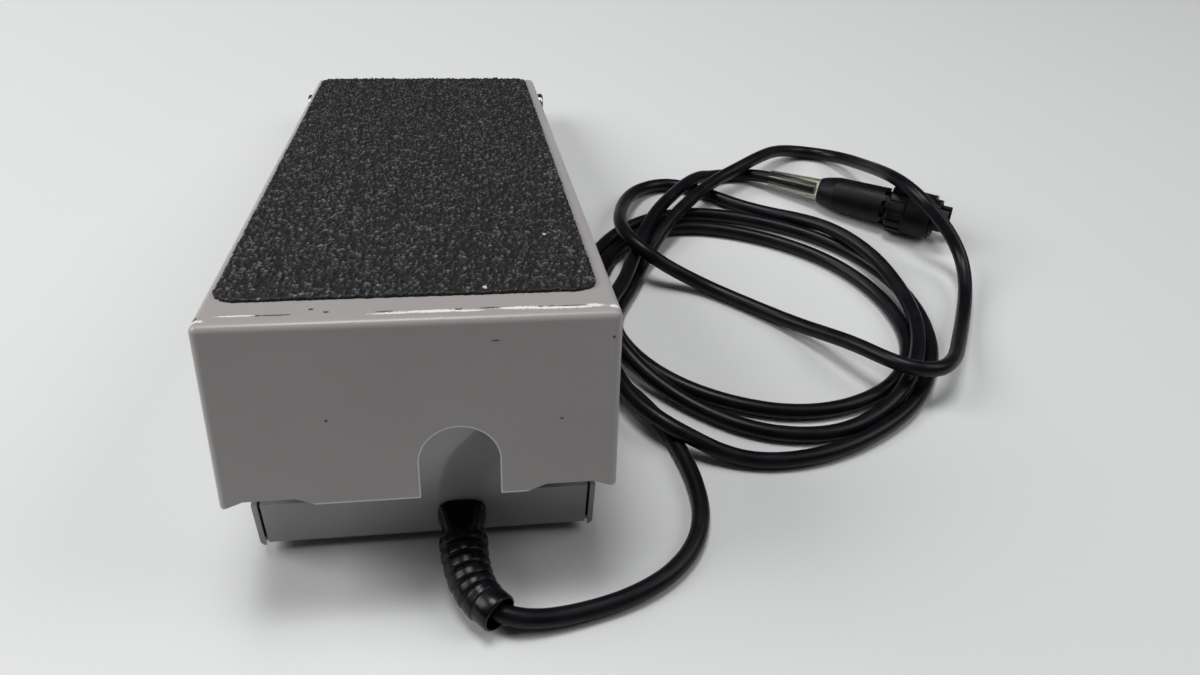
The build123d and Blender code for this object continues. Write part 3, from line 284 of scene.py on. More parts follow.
def surfaced(name, group, settings, depth, strength):
    """A material with this surface on it, and the surface's grain raised by this depth."""
    material = bpy.data.materials.new(name)
    material.use_nodes = True
    tree = material.node_tree
    shader = tree.nodes["Principled BSDF"]
    surface = tree.nodes.new("ShaderNodeGroup")
    surface.name = "surface"
    surface.node_tree = group
    for setting, value in settings.items():
        surface.inputs[setting].default_value = value
    relief = tree.nodes.new("ShaderNodeBump")
    relief.inputs["Distance"].default_value = depth
    relief.inputs["Strength"].default_value = strength
    tree.links.new(surface.outputs["Colour"], shader.inputs["Base Color"])
    tree.links.new(surface.outputs["Roughness"], shader.inputs["Roughness"])
    tree.links.new(surface.outputs["Height"], relief.inputs["Height"])
    tree.links.new(relief.outputs["Normal"], shader.inputs["Normal"])
    return material


moulding = surface_group("moulded surface", ("Clean", "Dusty"), ("Scale", "Grain", "Smooth", "Scuffed"))
inside = moulding.nodes.new("NodeGroupInput")
outside = moulding.nodes.new("NodeGroupOutput")
place = moulding.nodes.new("ShaderNodeTexCoord")
patches = moulding.nodes.new("ShaderNodeTexNoise")
patches.inputs["Detail"].default_value = 6.0
patches.inputs["Roughness"].default_value = 0.6
grain = moulding.nodes.new("ShaderNodeTexNoise")
grain.inputs["Detail"].default_value = 3.0
spread = moulding.nodes.new("ShaderNodeMapRange")
spread.inputs["From Min"].default_value = 0.45
spread.inputs["From Max"].default_value = 0.75
tint = moulding.nodes.new("ShaderNodeMix")
tint.data_type = "RGBA"
shine = moulding.nodes.new("ShaderNodeMapRange")
links = moulding.links
links.new(place.outputs["Object"], patches.inputs["Vector"])
links.new(inside.outputs["Scale"], patches.inputs["Scale"])
links.new(place.outputs["Object"], grain.inputs["Vector"])
links.new(inside.outputs["Grain"], grain.inputs["Scale"])
links.new(patches.outputs["Fac"], spread.inputs["Value"])
links.new(spread.outputs["Result"], tint.inputs["Factor"])
links.new(inside.outputs["Clean"], tint.inputs["A"])
links.new(inside.outputs["Dusty"], tint.inputs["B"])
links.new(spread.outputs["Result"], shine.inputs["Value"])
links.new(inside.outputs["Smooth"], shine.inputs["To Min"])
links.new(inside.outputs["Scuffed"], shine.inputs["To Max"])
links.new(tint.outputs["Result"], outside.inputs["Colour"])
links.new(shine.outputs["Result"], outside.inputs["Roughness"])
links.new(grain.outputs["Fac"], outside.inputs["Height"])


def moulded(name, clean, dusty, scale, grain_scale, smooth, scuffed, depth, sheen=0.5):
    """Rubber, nylon or vinyl as it comes from a mould, with light scuffs and dust in patches."""
    settings = {
        "Clean": (*clean, 1),
        "Dusty": (*dusty, 1),
        "Scale": scale,
        "Grain": grain_scale,
        "Smooth": smooth,
        "Scuffed": scuffed,
    }
    material = surfaced(name, moulding, settings, depth, 0.5)
    material.node_tree.nodes["Principled BSDF"].inputs["Specular IOR Level"].default_value = sheen
    return material


cord_line.materials.append(
    moulded(
        "cord vinyl", (0.0035, 0.0035, 0.0050), (0.009, 0.009, 0.012), 90.0, 1400.0, 0.34, 0.46, 0.00002, 0.2
    )
)

# The folded steel tray that everything stands in. It is sprayed light grey inside and out under a
# glossy clear coat, smoother than the cover's paint, so its front wall mirrors the strain relief.
spray = surface_group("sprayed grey", ("Paint", "Dulled"), ("Gloss",))
inside = spray.nodes.new("NodeGroupInput")
outside = spray.nodes.new("NodeGroupOutput")
place = spray.nodes.new("ShaderNodeTexCoord")
clouds = spray.nodes.new("ShaderNodeTexNoise")
clouds.inputs["Scale"].default_value = 16.0
clouds.inputs["Detail"].default_value = 5.0
peel = spray.nodes.new("ShaderNodeTexNoise")
peel.inputs["Scale"].default_value = 420.0
peel.inputs["Detail"].default_value = 2.0
spread = spray.nodes.new("ShaderNodeMapRange")
spread.inputs["From Min"].default_value = 0.4
spread.inputs["From Max"].default_value = 0.8
tint = spray.nodes.new("ShaderNodeMix")
tint.data_type = "RGBA"
shine = spray.nodes.new("ShaderNodeMath")
shine.operation = "MULTIPLY_ADD"
shine.inputs[1].default_value = 0.10
links = spray.links
links.new(place.outputs["Object"], clouds.inputs["Vector"])
links.new(place.outputs["Object"], peel.inputs["Vector"])
links.new(clouds.outputs["Fac"], spread.inputs["Value"])
links.new(spread.outputs["Result"], tint.inputs["Factor"])
links.new(inside.outputs["Paint"], tint.inputs["A"])
links.new(inside.outputs["Dulled"], tint.inputs["B"])
links.new(spread.outputs["Result"], shine.inputs[0])
links.new(inside.outputs["Gloss"], shine.inputs[2])
links.new(tint.outputs["Result"], outside.inputs["Colour"])
links.new(shine.outputs["Value"], outside.inputs["Roughness"])
links.new(peel.outputs["Fac"], outside.inputs["Height"])


def sprayed_steel(name, colour, dulled, gloss):
    """Light grey paint over folded steel, duller in clouds, with the faint orange peel of a spray."""
    settings = {"Paint": (*colour, 1), "Dulled": (*dulled, 1), "Gloss": gloss}
    return surfaced(name, spray, settings, 0.00003, 0.3)


def finish_node(material, *names):
    """Give the finish to pieces whose shape is already right."""
    for name in names:
        nodes[name].data.materials.clear()
        nodes[name].data.materials.append(material)


# Painted shade: the tray's paint is given a darker grey than the cover's same paint, for the shade the tray
# stands in under the cover.
tray_paint_shaded = sprayed_steel("tray paint", (0.275, 0.27, 0.277), (0.248, 0.243, 0.25), 0.15)
tray_shader = tray_paint_shaded.node_tree.nodes["Principled BSDF"]
tray_shader.inputs["Coat Weight"].default_value = 0.65
tray_shader.inputs["Coat Roughness"].default_value = 0.01
tray_shader.inputs["Coat IOR"].default_value = 1.6
finish_node(tray_paint_shaded, "base_tray")

# Turned and pressed steel: the screws and nuts of the feet, the bracket and the heel pivot, and the two
# folded brackets, all zinc plated, with nickel on the pivot screws and the potentiometer's shaft.
plating = surface_group("bare metal", ("Metal", "Tarnish"), ("Scale", "Polish", "Dull"))
inside = plating.nodes.new("NodeGroupInput")
outside = plating.nodes.new("NodeGroupOutput")
place = plating.nodes.new("ShaderNodeTexCoord")
stain = plating.nodes.new("ShaderNodeTexNoise")
stain.inputs["Detail"].default_value = 5.0
marks = plating.nodes.new("ShaderNodeTexNoise")
marks.inputs["Scale"].default_value = 1600.0
spread = plating.nodes.new("ShaderNodeMapRange")
spread.inputs["From Min"].default_value = 0.4
spread.inputs["From Max"].default_value = 0.75
tint = plating.nodes.new("ShaderNodeMix")
tint.data_type = "RGBA"
shine = plating.nodes.new("ShaderNodeMapRange")
links = plating.links
links.new(place.outputs["Object"], stain.inputs["Vector"])
links.new(inside.outputs["Scale"], stain.inputs["Scale"])
links.new(place.outputs["Object"], marks.inputs["Vector"])
links.new(stain.outputs["Fac"], spread.inputs["Value"])
links.new(spread.outputs["Result"], tint.inputs["Factor"])
links.new(inside.outputs["Metal"], tint.inputs["A"])
links.new(inside.outputs["Tarnish"], tint.inputs["B"])
links.new(spread.outputs["Result"], shine.inputs["Value"])
links.new(inside.outputs["Polish"], shine.inputs["To Min"])
links.new(inside.outputs["Dull"], shine.inputs["To Max"])
links.new(tint.outputs["Result"], outside.inputs["Colour"])
links.new(shine.outputs["Result"], outside.inputs["Roughness"])
links.new(marks.outputs["Fac"], outside.inputs["Height"])


def bare_metal(name, metal, tarnish, scale, polish, dull):
    """Plated or plain metal, cleaner in some places than in others, with fine tool marks."""
    settings = {
        "Metal": (*metal, 1),
        "Tarnish": (*tarnish, 1),
        "Scale": scale,
        "Polish": polish,
        "Dull": dull,
    }
    material = surfaced(name, plating, settings, 0.00001, 0.4)
    material.node_tree.nodes["Principled BSDF"].inputs["Metallic"].default_value = 1.0
    return material


zinc = bare_metal("zinc plating", (0.60, 0.61, 0.60), (0.42, 0.42, 0.41), 260.0, 0.28, 0.5)
finish_node(zinc, "foot_screws", "foot_nuts", "bracket_screws", "bracket_nuts", "pivot_nuts")
finish_node(zinc, "rack_bracket", "pot_bracket", "pinion_setscrew")
nickel = bare_metal("nickel plating", (0.66, 0.62, 0.56), (0.46, 0.43, 0.38), 300.0, 0.16, 0.32)
finish_node(nickel, "pivot_screws", "pot_shaft")

# Moulded rubber feet, screwed up under the tray, and the rubber edging that the heel of the cover
# rests on: matt, dusty and a little porous.
rubber = moulded(
    "foot rubber", (0.014, 0.014, 0.014), (0.045, 0.043, 0.04), 110.0, 1500.0, 0.62, 0.8, 0.00004
)
finish_node(rubber, "rubber_feet", "rest_stop")

# White nylon mouldings: the bushes between the walls at the heel pivot, and the seat and the cup that
# centre the two ends of the return spring.
nylon = moulded(
    "natural nylon", (0.72, 0.70, 0.63), (0.60, 0.57, 0.49), 60.0, 700.0, 0.38, 0.5, 0.00002
)
finish_node(nylon, "pivot_bushes", "spring_seat", "spring_cup")

# The return spring: oiled spring wire, dark and bright by turns. It stands on its seat in the tray and
# closes up by 7 to 8 mm, leaning a little with its cup, when the pedal is pressed.
finish_node(
    bare_metal("oiled spring wire", (0.34, 0.34, 0.35), (0.14, 0.13, 0.12), 340.0, 0.22, 0.42),
    "return_spring",
)
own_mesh(nodes["return_spring"])

# The cover: one piece of steel folded down at the front and both sides, in matt light grey paint.
# Its front fold is rubbed through where feet and cases have knocked it, and has a few dark dents.
cover_paint = sprayed_steel("cover paint", (0.352, 0.336, 0.329), (0.323, 0.308, 0.301), 0.3)
pivot_place = Vector((0, 0.117171, 0.01652))
cover_slope = math.radians(-14.699177)

knock = bpy.data.node_groups.new("knock", "ShaderNodeTree")
for name, kind in (
    ("Place", "NodeSocketVector"),
    ("Centre", "NodeSocketVector"),
    ("Reach", "NodeSocketVector"),
    ("Ragged", "NodeSocketFloat"),
):
    knock.interface.new_socket(name, in_out="INPUT", socket_type=kind)
knock.interface.new_socket("Mark", in_out="OUTPUT", socket_type="NodeSocketFloat")
inside = knock.nodes.new("NodeGroupInput")
outside = knock.nodes.new("NodeGroupOutput")
offset = knock.nodes.new("ShaderNodeVectorMath")
offset.operation = "SUBTRACT"
share = knock.nodes.new("ShaderNodeVectorMath")
share.operation = "DIVIDE"
away = knock.nodes.new("ShaderNodeVectorMath")
away.operation = "LENGTH"
rough_edge = knock.nodes.new("ShaderNodeMath")
rough_edge.operation = "ADD"
mark = knock.nodes.new("ShaderNodeMapRange")
mark.inputs["From Min"].default_value = 1.15
mark.inputs["From Max"].default_value = 0.85
links = knock.links
links.new(inside.outputs["Place"], offset.inputs[0])
links.new(inside.outputs["Centre"], offset.inputs[1])
links.new(offset.outputs["Vector"], share.inputs[0])
links.new(inside.outputs["Reach"], share.inputs[1])
links.new(share.outputs["Vector"], away.inputs[0])
links.new(away.outputs["Value"], rough_edge.inputs[0])
links.new(inside.outputs["Ragged"], rough_edge.inputs[1])
links.new(rough_edge.outputs["Value"], mark.inputs["Value"])
links.new(mark.outputs["Result"], outside.inputs["Mark"])


def place_on_cover(tree):
    """Where a point is on the sloping cover, in millimetres across, along and out from the heel pivot."""
    place = tree.nodes.new("ShaderNodeTexCoord")
    along_cover = tree.nodes.new("ShaderNodeMapping")
    along_cover.vector_type = "TEXTURE"
    along_cover.inputs["Location"].default_value = pivot_place
    along_cover.inputs["Rotation"].default_value = (cover_slope, 0, 0)
    along_cover.inputs["Scale"].default_value = (0.001, 0.001, 0.001)
    tree.links.new(place.outputs["Object"], along_cover.inputs["Vector"])
    return along_cover.outputs["Vector"]


tree = cover_paint.node_tree
shader = tree.nodes["Principled BSDF"]
cover_spot = place_on_cover(tree)
# The marks' outlines wander in and out by up to this share of their size
ragged_swing = 1.2
ragged = tree.nodes.new("ShaderNodeTexNoise")
ragged.inputs["Scale"].default_value = 1.4
ragged.inputs["Detail"].default_value = 5.0
ragged.inputs["Roughness"].default_value = 0.7
ragged_share = tree.nodes.new("ShaderNodeMath")
ragged_share.operation = "MULTIPLY_ADD"
ragged_share.inputs[1].default_value = 2 * ragged_swing
ragged_share.inputs[2].default_value = -ragged_swing
tree.links.new(cover_spot, ragged.inputs["Vector"])
tree.links.new(ragged.outputs["Fac"], ragged_share.inputs[0])
# Each mark: its middle and half size, in millimetres across, along and out from the heel pivot
rubbed_bare = [
    ((-40.0, -243.2, 8.2), (4.8, 0.35, 1.0)),
    ((-48.2, -245.4, 7.4), (1.8, 0.9, 1.4)),
    ((-5.0, -244.6, 8.0), (6.0, 0.38, 1.0)),
    ((5.0, -244.2, 8.2), (9.0, 0.72, 1.1)),
    ((5.8, -247.2, 7.0), (3.2, 0.6, 0.9)),
    ((13.0, -244.6, 8.0), (4.0, 0.5, 1.1)),
    ((25.5, -244.0, 8.2), (6.0, 0.7, 1.1)),
    ((36.0, -244.6, 8.0), (9.0, 0.7, 1.1)),
    ((43.4, -244.0, 8.2), (2.2, 0.8, 1.2)),
    ((48.4, -244.8, 7.8), (1.3, 0.9, 1.4)),
]
dirty_dents = [
    ((-31.6, -243.4, 8.2), (4.2, 0.35, 0.9)),
    ((-35.2, -243.4, 8.2), (0.7, 0.45, 0.9)),
    ((-23.6, -240.8, 8.4), (0.55, 0.55, 0.9)),
    ((-19.9, -242.6, 8.4), (0.75, 0.5, 0.9)),
    ((-49.2, -243.8, 7.8), (0.8, 1.2, 1.2)),
    ((-6.2, -243.4, 8.4), (2.2, 0.28, 0.9)),
    ((10.8, -243.6, 8.4), (0.9, 0.5, 0.9)),
    ((18.2, -243.4, 8.4), (2.6, 0.3, 0.9)),
    ((30.4, -243.6, 8.4), (0.6, 0.3, 0.9)),
    ((33.1, -243.6, 8.4), (0.9, 0.25, 0.9)),
    ((38.0, -243.8, 8.4), (3.6, 0.3, 0.9)),
    ((19.2, -248.5, 2.1), (1.1, 1.0, 0.26)),
    ((35.3, -248.5, -20.4), (0.5, 1.0, 0.28)),
    ((-21.8, -248.5, -17.8), (0.42, 1.0, 0.42)),
    ((47.8, -248.5, 1.8), (0.4, 1.0, 0.4)),
]


def gather_knocks(marks):
    """All the marks of one kind on the cover as one mask."""
    so_far = None
    for centre, reach in marks:
        spot = tree.nodes.new("ShaderNodeGroup")
        spot.node_tree = knock
        spot.inputs["Centre"].default_value = centre
        spot.inputs["Reach"].default_value = reach
        tree.links.new(cover_spot, spot.inputs["Place"])
        tree.links.new(ragged_share.outputs["Value"], spot.inputs["Ragged"])
        if so_far is None:
            so_far = spot.outputs["Mark"]
            continue
        both = tree.nodes.new("ShaderNodeMath")
        both.operation = "MAXIMUM"
        tree.links.new(so_far, both.inputs[0])
        tree.links.new(spot.outputs["Mark"], both.inputs[1])
        so_far = both.outputs["Value"]
    return so_far


# A light line is painted along the cut edges of the front fold and of its cord notch: a painted highlight
# where the rounded sheet edges catch the light.
# These are millimetres on the cover too.
notch_centre = 9.6
notch_half_width = 10.2
notch_spring_line = -31.6
arch_line_full = 0.25
arch_line_gone = 0.40
lip_line_gone = -41.5
lip_line_full = -41.7
front_face = -246.5
parts = tree.nodes.new("ShaderNodeSeparateXYZ")
aside = tree.nodes.new("ShaderNodeMath")
aside.operation = "SUBTRACT"
aside.inputs[1].default_value = notch_centre
above = tree.nodes.new("ShaderNodeMath")
above.operation = "SUBTRACT"
above.inputs[1].default_value = notch_spring_line
above_only = tree.nodes.new("ShaderNodeMath")
above_only.operation = "MAXIMUM"
above_only.inputs[1].default_value = 0.0
from_middle = tree.nodes.new("ShaderNodeCombineXYZ")
from_arch = tree.nodes.new("ShaderNodeVectorMath")
from_arch.operation = "LENGTH"
arch_line = tree.nodes.new("ShaderNodeMapRange")
arch_line.inputs["From Min"].default_value = notch_half_width + arch_line_gone
arch_line.inputs["From Max"].default_value = notch_half_width + arch_line_full
lip_line = tree.nodes.new("ShaderNodeMapRange")
lip_line.inputs["From Min"].default_value = lip_line_gone
lip_line.inputs["From Max"].default_value = lip_line_full
either_line = tree.nodes.new("ShaderNodeMath")
either_line.operation = "MAXIMUM"
front_only = tree.nodes.new("ShaderNodeMath")
front_only.operation = "LESS_THAN"
front_only.inputs[1].default_value = front_face
edge_highlight_mask = tree.nodes.new("ShaderNodeMath")
edge_highlight_mask.operation = "MULTIPLY"
tree.links.new(cover_spot, parts.inputs["Vector"])
tree.links.new(parts.outputs["X"], aside.inputs[0])
tree.links.new(parts.outputs["Z"], above.inputs[0])
tree.links.new(above.outputs["Value"], above_only.inputs[0])
tree.links.new(aside.outputs["Value"], from_middle.inputs["X"])
tree.links.new(above_only.outputs["Value"], from_middle.inputs["Y"])
tree.links.new(from_middle.outputs["Vector"], from_arch.inputs[0])
tree.links.new(from_arch.outputs["Value"], arch_line.inputs["Value"])
tree.links.new(parts.outputs["Z"], lip_line.inputs["Value"])
tree.links.new(arch_line.outputs["Result"], either_line.inputs[0])
tree.links.new(lip_line.outputs["Result"], either_line.inputs[1])
tree.links.new(parts.outputs["Y"], front_only.inputs[0])
tree.links.new(either_line.outputs["Value"], edge_highlight_mask.inputs[0])
tree.links.new(front_only.outputs["Value"], edge_highlight_mask.inputs[1])
# Painted highlight: the pale colour laid along the fold's and the notch's edges.
edge_highlighted = tree.nodes.new("ShaderNodeMix")
edge_highlighted.data_type = "RGBA"
edge_highlighted.inputs["B"].default_value = (0.62, 0.61, 0.60, 1)

paint = tree.nodes["surface"]
rubbed = tree.nodes.new("ShaderNodeMix")
rubbed.data_type = "RGBA"
rubbed.inputs["B"].default_value = (0.80, 0.79, 0.77, 1)
dented = tree.nodes.new("ShaderNodeMix")
dented.data_type = "RGBA"
dented.inputs["B"].default_value = (0.09, 0.06, 0.05, 1)
tree.links.new(gather_knocks(rubbed_bare), rubbed.inputs["Factor"])
tree.links.new(edge_highlight_mask.outputs["Value"], edge_highlighted.inputs["Factor"])
tree.links.new(paint.outputs["Colour"], edge_highlighted.inputs["A"])
tree.links.new(edge_highlighted.outputs["Result"], rubbed.inputs["A"])
tree.links.new(gather_knocks(dirty_dents), dented.inputs["Factor"])
tree.links.new(rubbed.outputs["Result"], dented.inputs["A"])
tree.links.new(dented.outputs["Result"], shader.inputs["Base Color"])
finish_node(cover_paint, "cover_shell")

# The foot pad: a sheet of coarse black grit bonded to the top of the cover, with rounded corners.
# The grit is real relief, crushed grains a millimetre or so across, and its colour is also darkened in the
# gaps between them as painted shade.
pad_left = -0.0474
pad_right = 0.0456
pad_front = -0.2357
pad_back = 0.0125
pad_under = 0.0084
pad_thickness = 0.0015
pad_corner = 0.006
backing_share = 0.55
edge_lift = 0.25
mesh_pitch = 0.0005
cover_turn = Matrix.Rotation(cover_slope, 4, "X")
across = round((pad_right - pad_left) / mesh_pitch)
along = round((pad_back - pad_front) / mesh_pitch)


def pad_spot(column, row):
    """A point of the sheet's outline grid, with the grid's corners drawn in to the rounded corners."""
    x = pad_left + (pad_right - pad_left) * column / across
    y = pad_front + (pad_back - pad_front) * row / along
    corner_x = min(max(x, pad_left + pad_corner), pad_right - pad_corner)
    corner_y = min(max(y, pad_front + pad_corner), pad_back - pad_corner)
    out_x = x - corner_x
    out_y = y - corner_y
    if out_x and out_y:
        draw_in = max(abs(out_x), abs(out_y)) / math.hypot(out_x, out_y)
        x = corner_x + out_x * draw_in
        y = corner_y + out_y * draw_in
    return x, y


pad_mesh = bpy.data.meshes.new("grit sheet")
build = bmesh.new()
lifted = build.verts.layers.float.new("lifted")
top_rows = []
for row in range(along + 1):
    line = []
    for column in range(across + 1):
        x, y = pad_spot(column, row)
        point = build.verts.new(Vector((x, y, pad_under + pad_thickness * backing_share)))
        edge = column in (0, across) or row in (0, along)
        point[lifted] = edge_lift if edge else 1.0
        line.append(point)
    top_rows.append(line)
for lower, upper in zip(top_rows, top_rows[1:]):
    for a, b, c, d in zip(lower, lower[1:], upper[1:], upper):
        build.faces.new((a, b, c, d))
rim = [*top_rows[0], *[line[-1] for line in top_rows[1:-1]], *reversed(top_rows[-1])]
rim += [line[0] for line in reversed(top_rows[1:-1])]
foot = [build.verts.new(Vector((point.co.x, point.co.y, pad_under))) for point in rim]
for index, point in enumerate(rim):
    following = (index + 1) % len(rim)
    build.faces.new((rim[following], point, foot[index], foot[following]))
build.faces.new(list(reversed(foot)))
build.to_mesh(pad_mesh)
build.free()
pad = bpy.data.objects.new("grit_sheet", pad_mesh)
scene.collection.objects.link(pad)

grit = bpy.data.node_groups.new("crushed grit", "GeometryNodeTree")
grit.interface.new_socket("Sheet", in_out="INPUT", socket_type="NodeSocketGeometry")
for name, kind in (
    ("Grain Size", "NodeSocketFloat"),
    ("Grain Height", "NodeSocketFloat"),
    ("Edge Bite", "NodeSocketFloat"),
    ("Finish", "NodeSocketMaterial"),
):
    grit.interface.new_socket(name, in_out="INPUT", socket_type=kind)
grit.interface.new_socket("Sheet", in_out="OUTPUT", socket_type="NodeSocketGeometry")
sheet_in = grit.nodes.new("NodeGroupInput")
sheet_out = grit.nodes.new("NodeGroupOutput")
spot = grit.nodes.new("GeometryNodeInputPosition")
lifted_in = grit.nodes.new("GeometryNodeInputNamedAttribute")
lifted_in.data_type = "FLOAT"
lifted_in.inputs["Name"].default_value = "lifted"
finer = grit.nodes.new("ShaderNodeMath")
finer.operation = "DIVIDE"
finer.inputs[0].default_value = 1.0
grains = grit.nodes.new("ShaderNodeTexVoronoi")
dome = grit.nodes.new("ShaderNodeMapRange")
dome.inputs["From Min"].default_value = 0.60
dome.inputs["From Max"].default_value = 0.20
dome.interpolation_type = "SMOOTHSTEP"
uneven = grit.nodes.new("ShaderNodeTexNoise")
uneven.inputs["Scale"].default_value = 420.0
uneven.inputs["Detail"].default_value = 3.0
level = grit.nodes.new("ShaderNodeMath")
level.operation = "MULTIPLY"
rise = grit.nodes.new("ShaderNodeMath")
rise.operation = "MULTIPLY"
held = grit.nodes.new("ShaderNodeMath")
held.operation = "MULTIPLY"
upward = grit.nodes.new("ShaderNodeCombineXYZ")
bite = grit.nodes.new("ShaderNodeTexNoise")
bite.inputs["Scale"].default_value = 900.0
bite_turn = grit.nodes.new("ShaderNodeVectorMath")
bite_turn.operation = "SUBTRACT"
bite_turn.inputs[1].default_value = (0.5, 0.5, 0.5)
bite_reach = grit.nodes.new("ShaderNodeVectorMath")
bite_reach.operation = "SCALE"
bite_flat = grit.nodes.new("ShaderNodeVectorMath")
bite_flat.operation = "MULTIPLY"
bite_flat.inputs[1].default_value = (1.0, 1.0, 0.0)
shift = grit.nodes.new("ShaderNodeVectorMath")
shift.operation = "ADD"
move = grit.nodes.new("GeometryNodeSetPosition")
keep = grit.nodes.new("GeometryNodeStoreNamedAttribute")
keep.data_type = "FLOAT"
keep.inputs["Name"].default_value = "grain"
solid = grit.nodes.new("GeometryNodeRealizeInstances")
coloured = grit.nodes.new("GeometryNodeSetMaterial")
links = grit.links
links.new(sheet_in.outputs["Grain Size"], finer.inputs[1])
links.new(spot.outputs["Position"], grains.inputs["Vector"])
links.new(finer.outputs["Value"], grains.inputs["Scale"])
links.new(grains.outputs["Distance"], dome.inputs["Value"])
links.new(spot.outputs["Position"], uneven.inputs["Vector"])
links.new(dome.outputs["Result"], level.inputs[0])
links.new(uneven.outputs["Fac"], level.inputs[1])
links.new(level.outputs["Value"], rise.inputs[0])
links.new(sheet_in.outputs["Grain Height"], rise.inputs[1])
links.new(rise.outputs["Value"], held.inputs[0])
links.new(lifted_in.outputs["Attribute"], held.inputs[1])
links.new(held.outputs["Value"], upward.inputs["Z"])
links.new(spot.outputs["Position"], bite.inputs["Vector"])
links.new(bite.outputs["Color"], bite_turn.inputs[0])
links.new(bite_turn.outputs["Vector"], bite_flat.inputs[0])
links.new(bite_flat.outputs["Vector"], bite_reach.inputs[0])
links.new(sheet_in.outputs["Edge Bite"], bite_reach.inputs["Scale"])
links.new(upward.outputs["Vector"], shift.inputs[0])
links.new(bite_reach.outputs["Vector"], shift.inputs[1])
links.new(sheet_in.outputs["Sheet"], keep.inputs["Geometry"])
links.new(level.outputs["Value"], keep.inputs["Value"])
links.new(keep.outputs["Geometry"], move.inputs["Geometry"])
links.new(shift.outputs["Vector"], move.inputs["Offset"])
links.new(move.outputs["Geometry"], solid.inputs["Geometry"])
links.new(solid.outputs["Geometry"], coloured.inputs["Geometry"])
links.new(sheet_in.outputs["Finish"], coloured.inputs["Material"])
links.new(coloured.outputs["Geometry"], sheet_out.inputs["Sheet"])

pad_finish = bpy.data.materials.new("black grit")
pad_finish.use_nodes = True
tree = pad_finish.node_tree
shader = tree.nodes["Principled BSDF"]
place = tree.nodes.new("ShaderNodeTexCoord")
grain_level = tree.nodes.new("ShaderNodeAttribute")
grain_level.attribute_name = "grain"
crest = tree.nodes.new("ShaderNodeMapRange")
crest.inputs["From Min"].default_value = 0.28
crest.inputs["From Max"].default_value = 0.50
# Painted shade: the colour runs from near black in the gaps up to grey on the crests, by each grain's height.
grey = tree.nodes.new("ShaderNodeMix")
grey.data_type = "RGBA"
grey.inputs["A"].default_value = (0.0012, 0.0012, 0.0016, 1)
grey.inputs["B"].default_value = (0.112, 0.116, 0.130, 1)
pale_grains = tree.nodes.new("ShaderNodeTexVoronoi")
pale_grains.inputs["Scale"].default_value = 950.0
pick = tree.nodes.new("ShaderNodeSeparateColor")
few = tree.nodes.new("ShaderNodeMapRange")
few.inputs["From Min"].default_value = 0.94
few.inputs["From Max"].default_value = 0.99
few_high = tree.nodes.new("ShaderNodeMath")
few_high.operation = "MULTIPLY"
speck = tree.nodes.new("ShaderNodeMix")
speck.data_type = "RGBA"
speck.clamp_factor = False
speck.inputs["B"].default_value = (0.20, 0.20, 0.21, 1)
sparkle = tree.nodes.new("ShaderNodeMapRange")
sparkle.inputs["To Min"].default_value = 0.62
sparkle.inputs["To Max"].default_value = 0.38
fine = tree.nodes.new("ShaderNodeTexNoise")
fine.inputs["Scale"].default_value = 1900.0
fine.inputs["Detail"].default_value = 4.0
relief = tree.nodes.new("ShaderNodeBump")
relief.inputs["Distance"].default_value = 0.00025
relief.inputs["Strength"].default_value = 0.7
links = tree.links
links.new(grain_level.outputs["Fac"], crest.inputs["Value"])
links.new(crest.outputs["Result"], grey.inputs["Factor"])
links.new(place.outputs["Object"], pale_grains.inputs["Vector"])
links.new(pale_grains.outputs["Color"], pick.inputs["Color"])
links.new(pick.outputs["Red"], few.inputs["Value"])
links.new(few.outputs["Result"], few_high.inputs[0])
links.new(crest.outputs["Result"], few_high.inputs[1])
# Two pale crumbs caught between the grains, brighter than the grains' own specks. Each has its middle
# and half size in millimetres on the cover.
crumb_brightness = 2.5
crumbs = (
    ((17.4, -233.6, 9.6), (0.6, 0.4, 2)),
    ((35.5, -197.3, 9.6), (0.5, 0.5, 2)),
)
crumb_spot = place_on_cover(tree)
pale = few_high.outputs["Value"]
for centre, reach in crumbs:
    crumb = tree.nodes.new("ShaderNodeGroup")
    crumb.node_tree = knock
    crumb.inputs["Centre"].default_value = centre
    crumb.inputs["Reach"].default_value = reach
    lighter = tree.nodes.new("ShaderNodeMath")
    lighter.operation = "MULTIPLY_ADD"
    lighter.inputs[1].default_value = crumb_brightness
    links.new(crumb_spot, crumb.inputs["Place"])
    links.new(crumb.outputs["Mark"], lighter.inputs[0])
    links.new(pale, lighter.inputs[2])
    pale = lighter.outputs["Value"]
links.new(pale, speck.inputs["Factor"])
links.new(grey.outputs["Result"], speck.inputs["A"])
links.new(speck.outputs["Result"], shader.inputs["Base Color"])
links.new(crest.outputs["Result"], sparkle.inputs["Value"])
links.new(sparkle.outputs["Result"], shader.inputs["Roughness"])
links.new(place.outputs["Object"], fine.inputs["Vector"])
links.new(fine.outputs["Fac"], relief.inputs["Height"])
links.new(relief.outputs["Normal"], shader.inputs["Normal"])

pad_sizes = {
    "Grain Size": 0.0010,
    "Grain Height": 0.0014,
    "Edge Bite": 0.0016,
    "Finish": pad_finish,
}
gritting = pad.modifiers.new("grit", "NODES")
gritting.node_group = grit
for item in grit.interface.items_tree:
    if item.name in pad_sizes:
        gritting[item.identifier] = pad_sizes[item.name]
settled = pad.evaluated_get(bpy.context.evaluated_depsgraph_get())
pad_solid = bpy.data.meshes.new_from_object(settled)
pad.modifiers.clear()
pad.data = pad_solid
pad_solid.transform(Matrix.Translation(pivot_place) @ cover_turn)
pad_solid.shade_smooth()
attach(pad, "cover")
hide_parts("grip_pad")

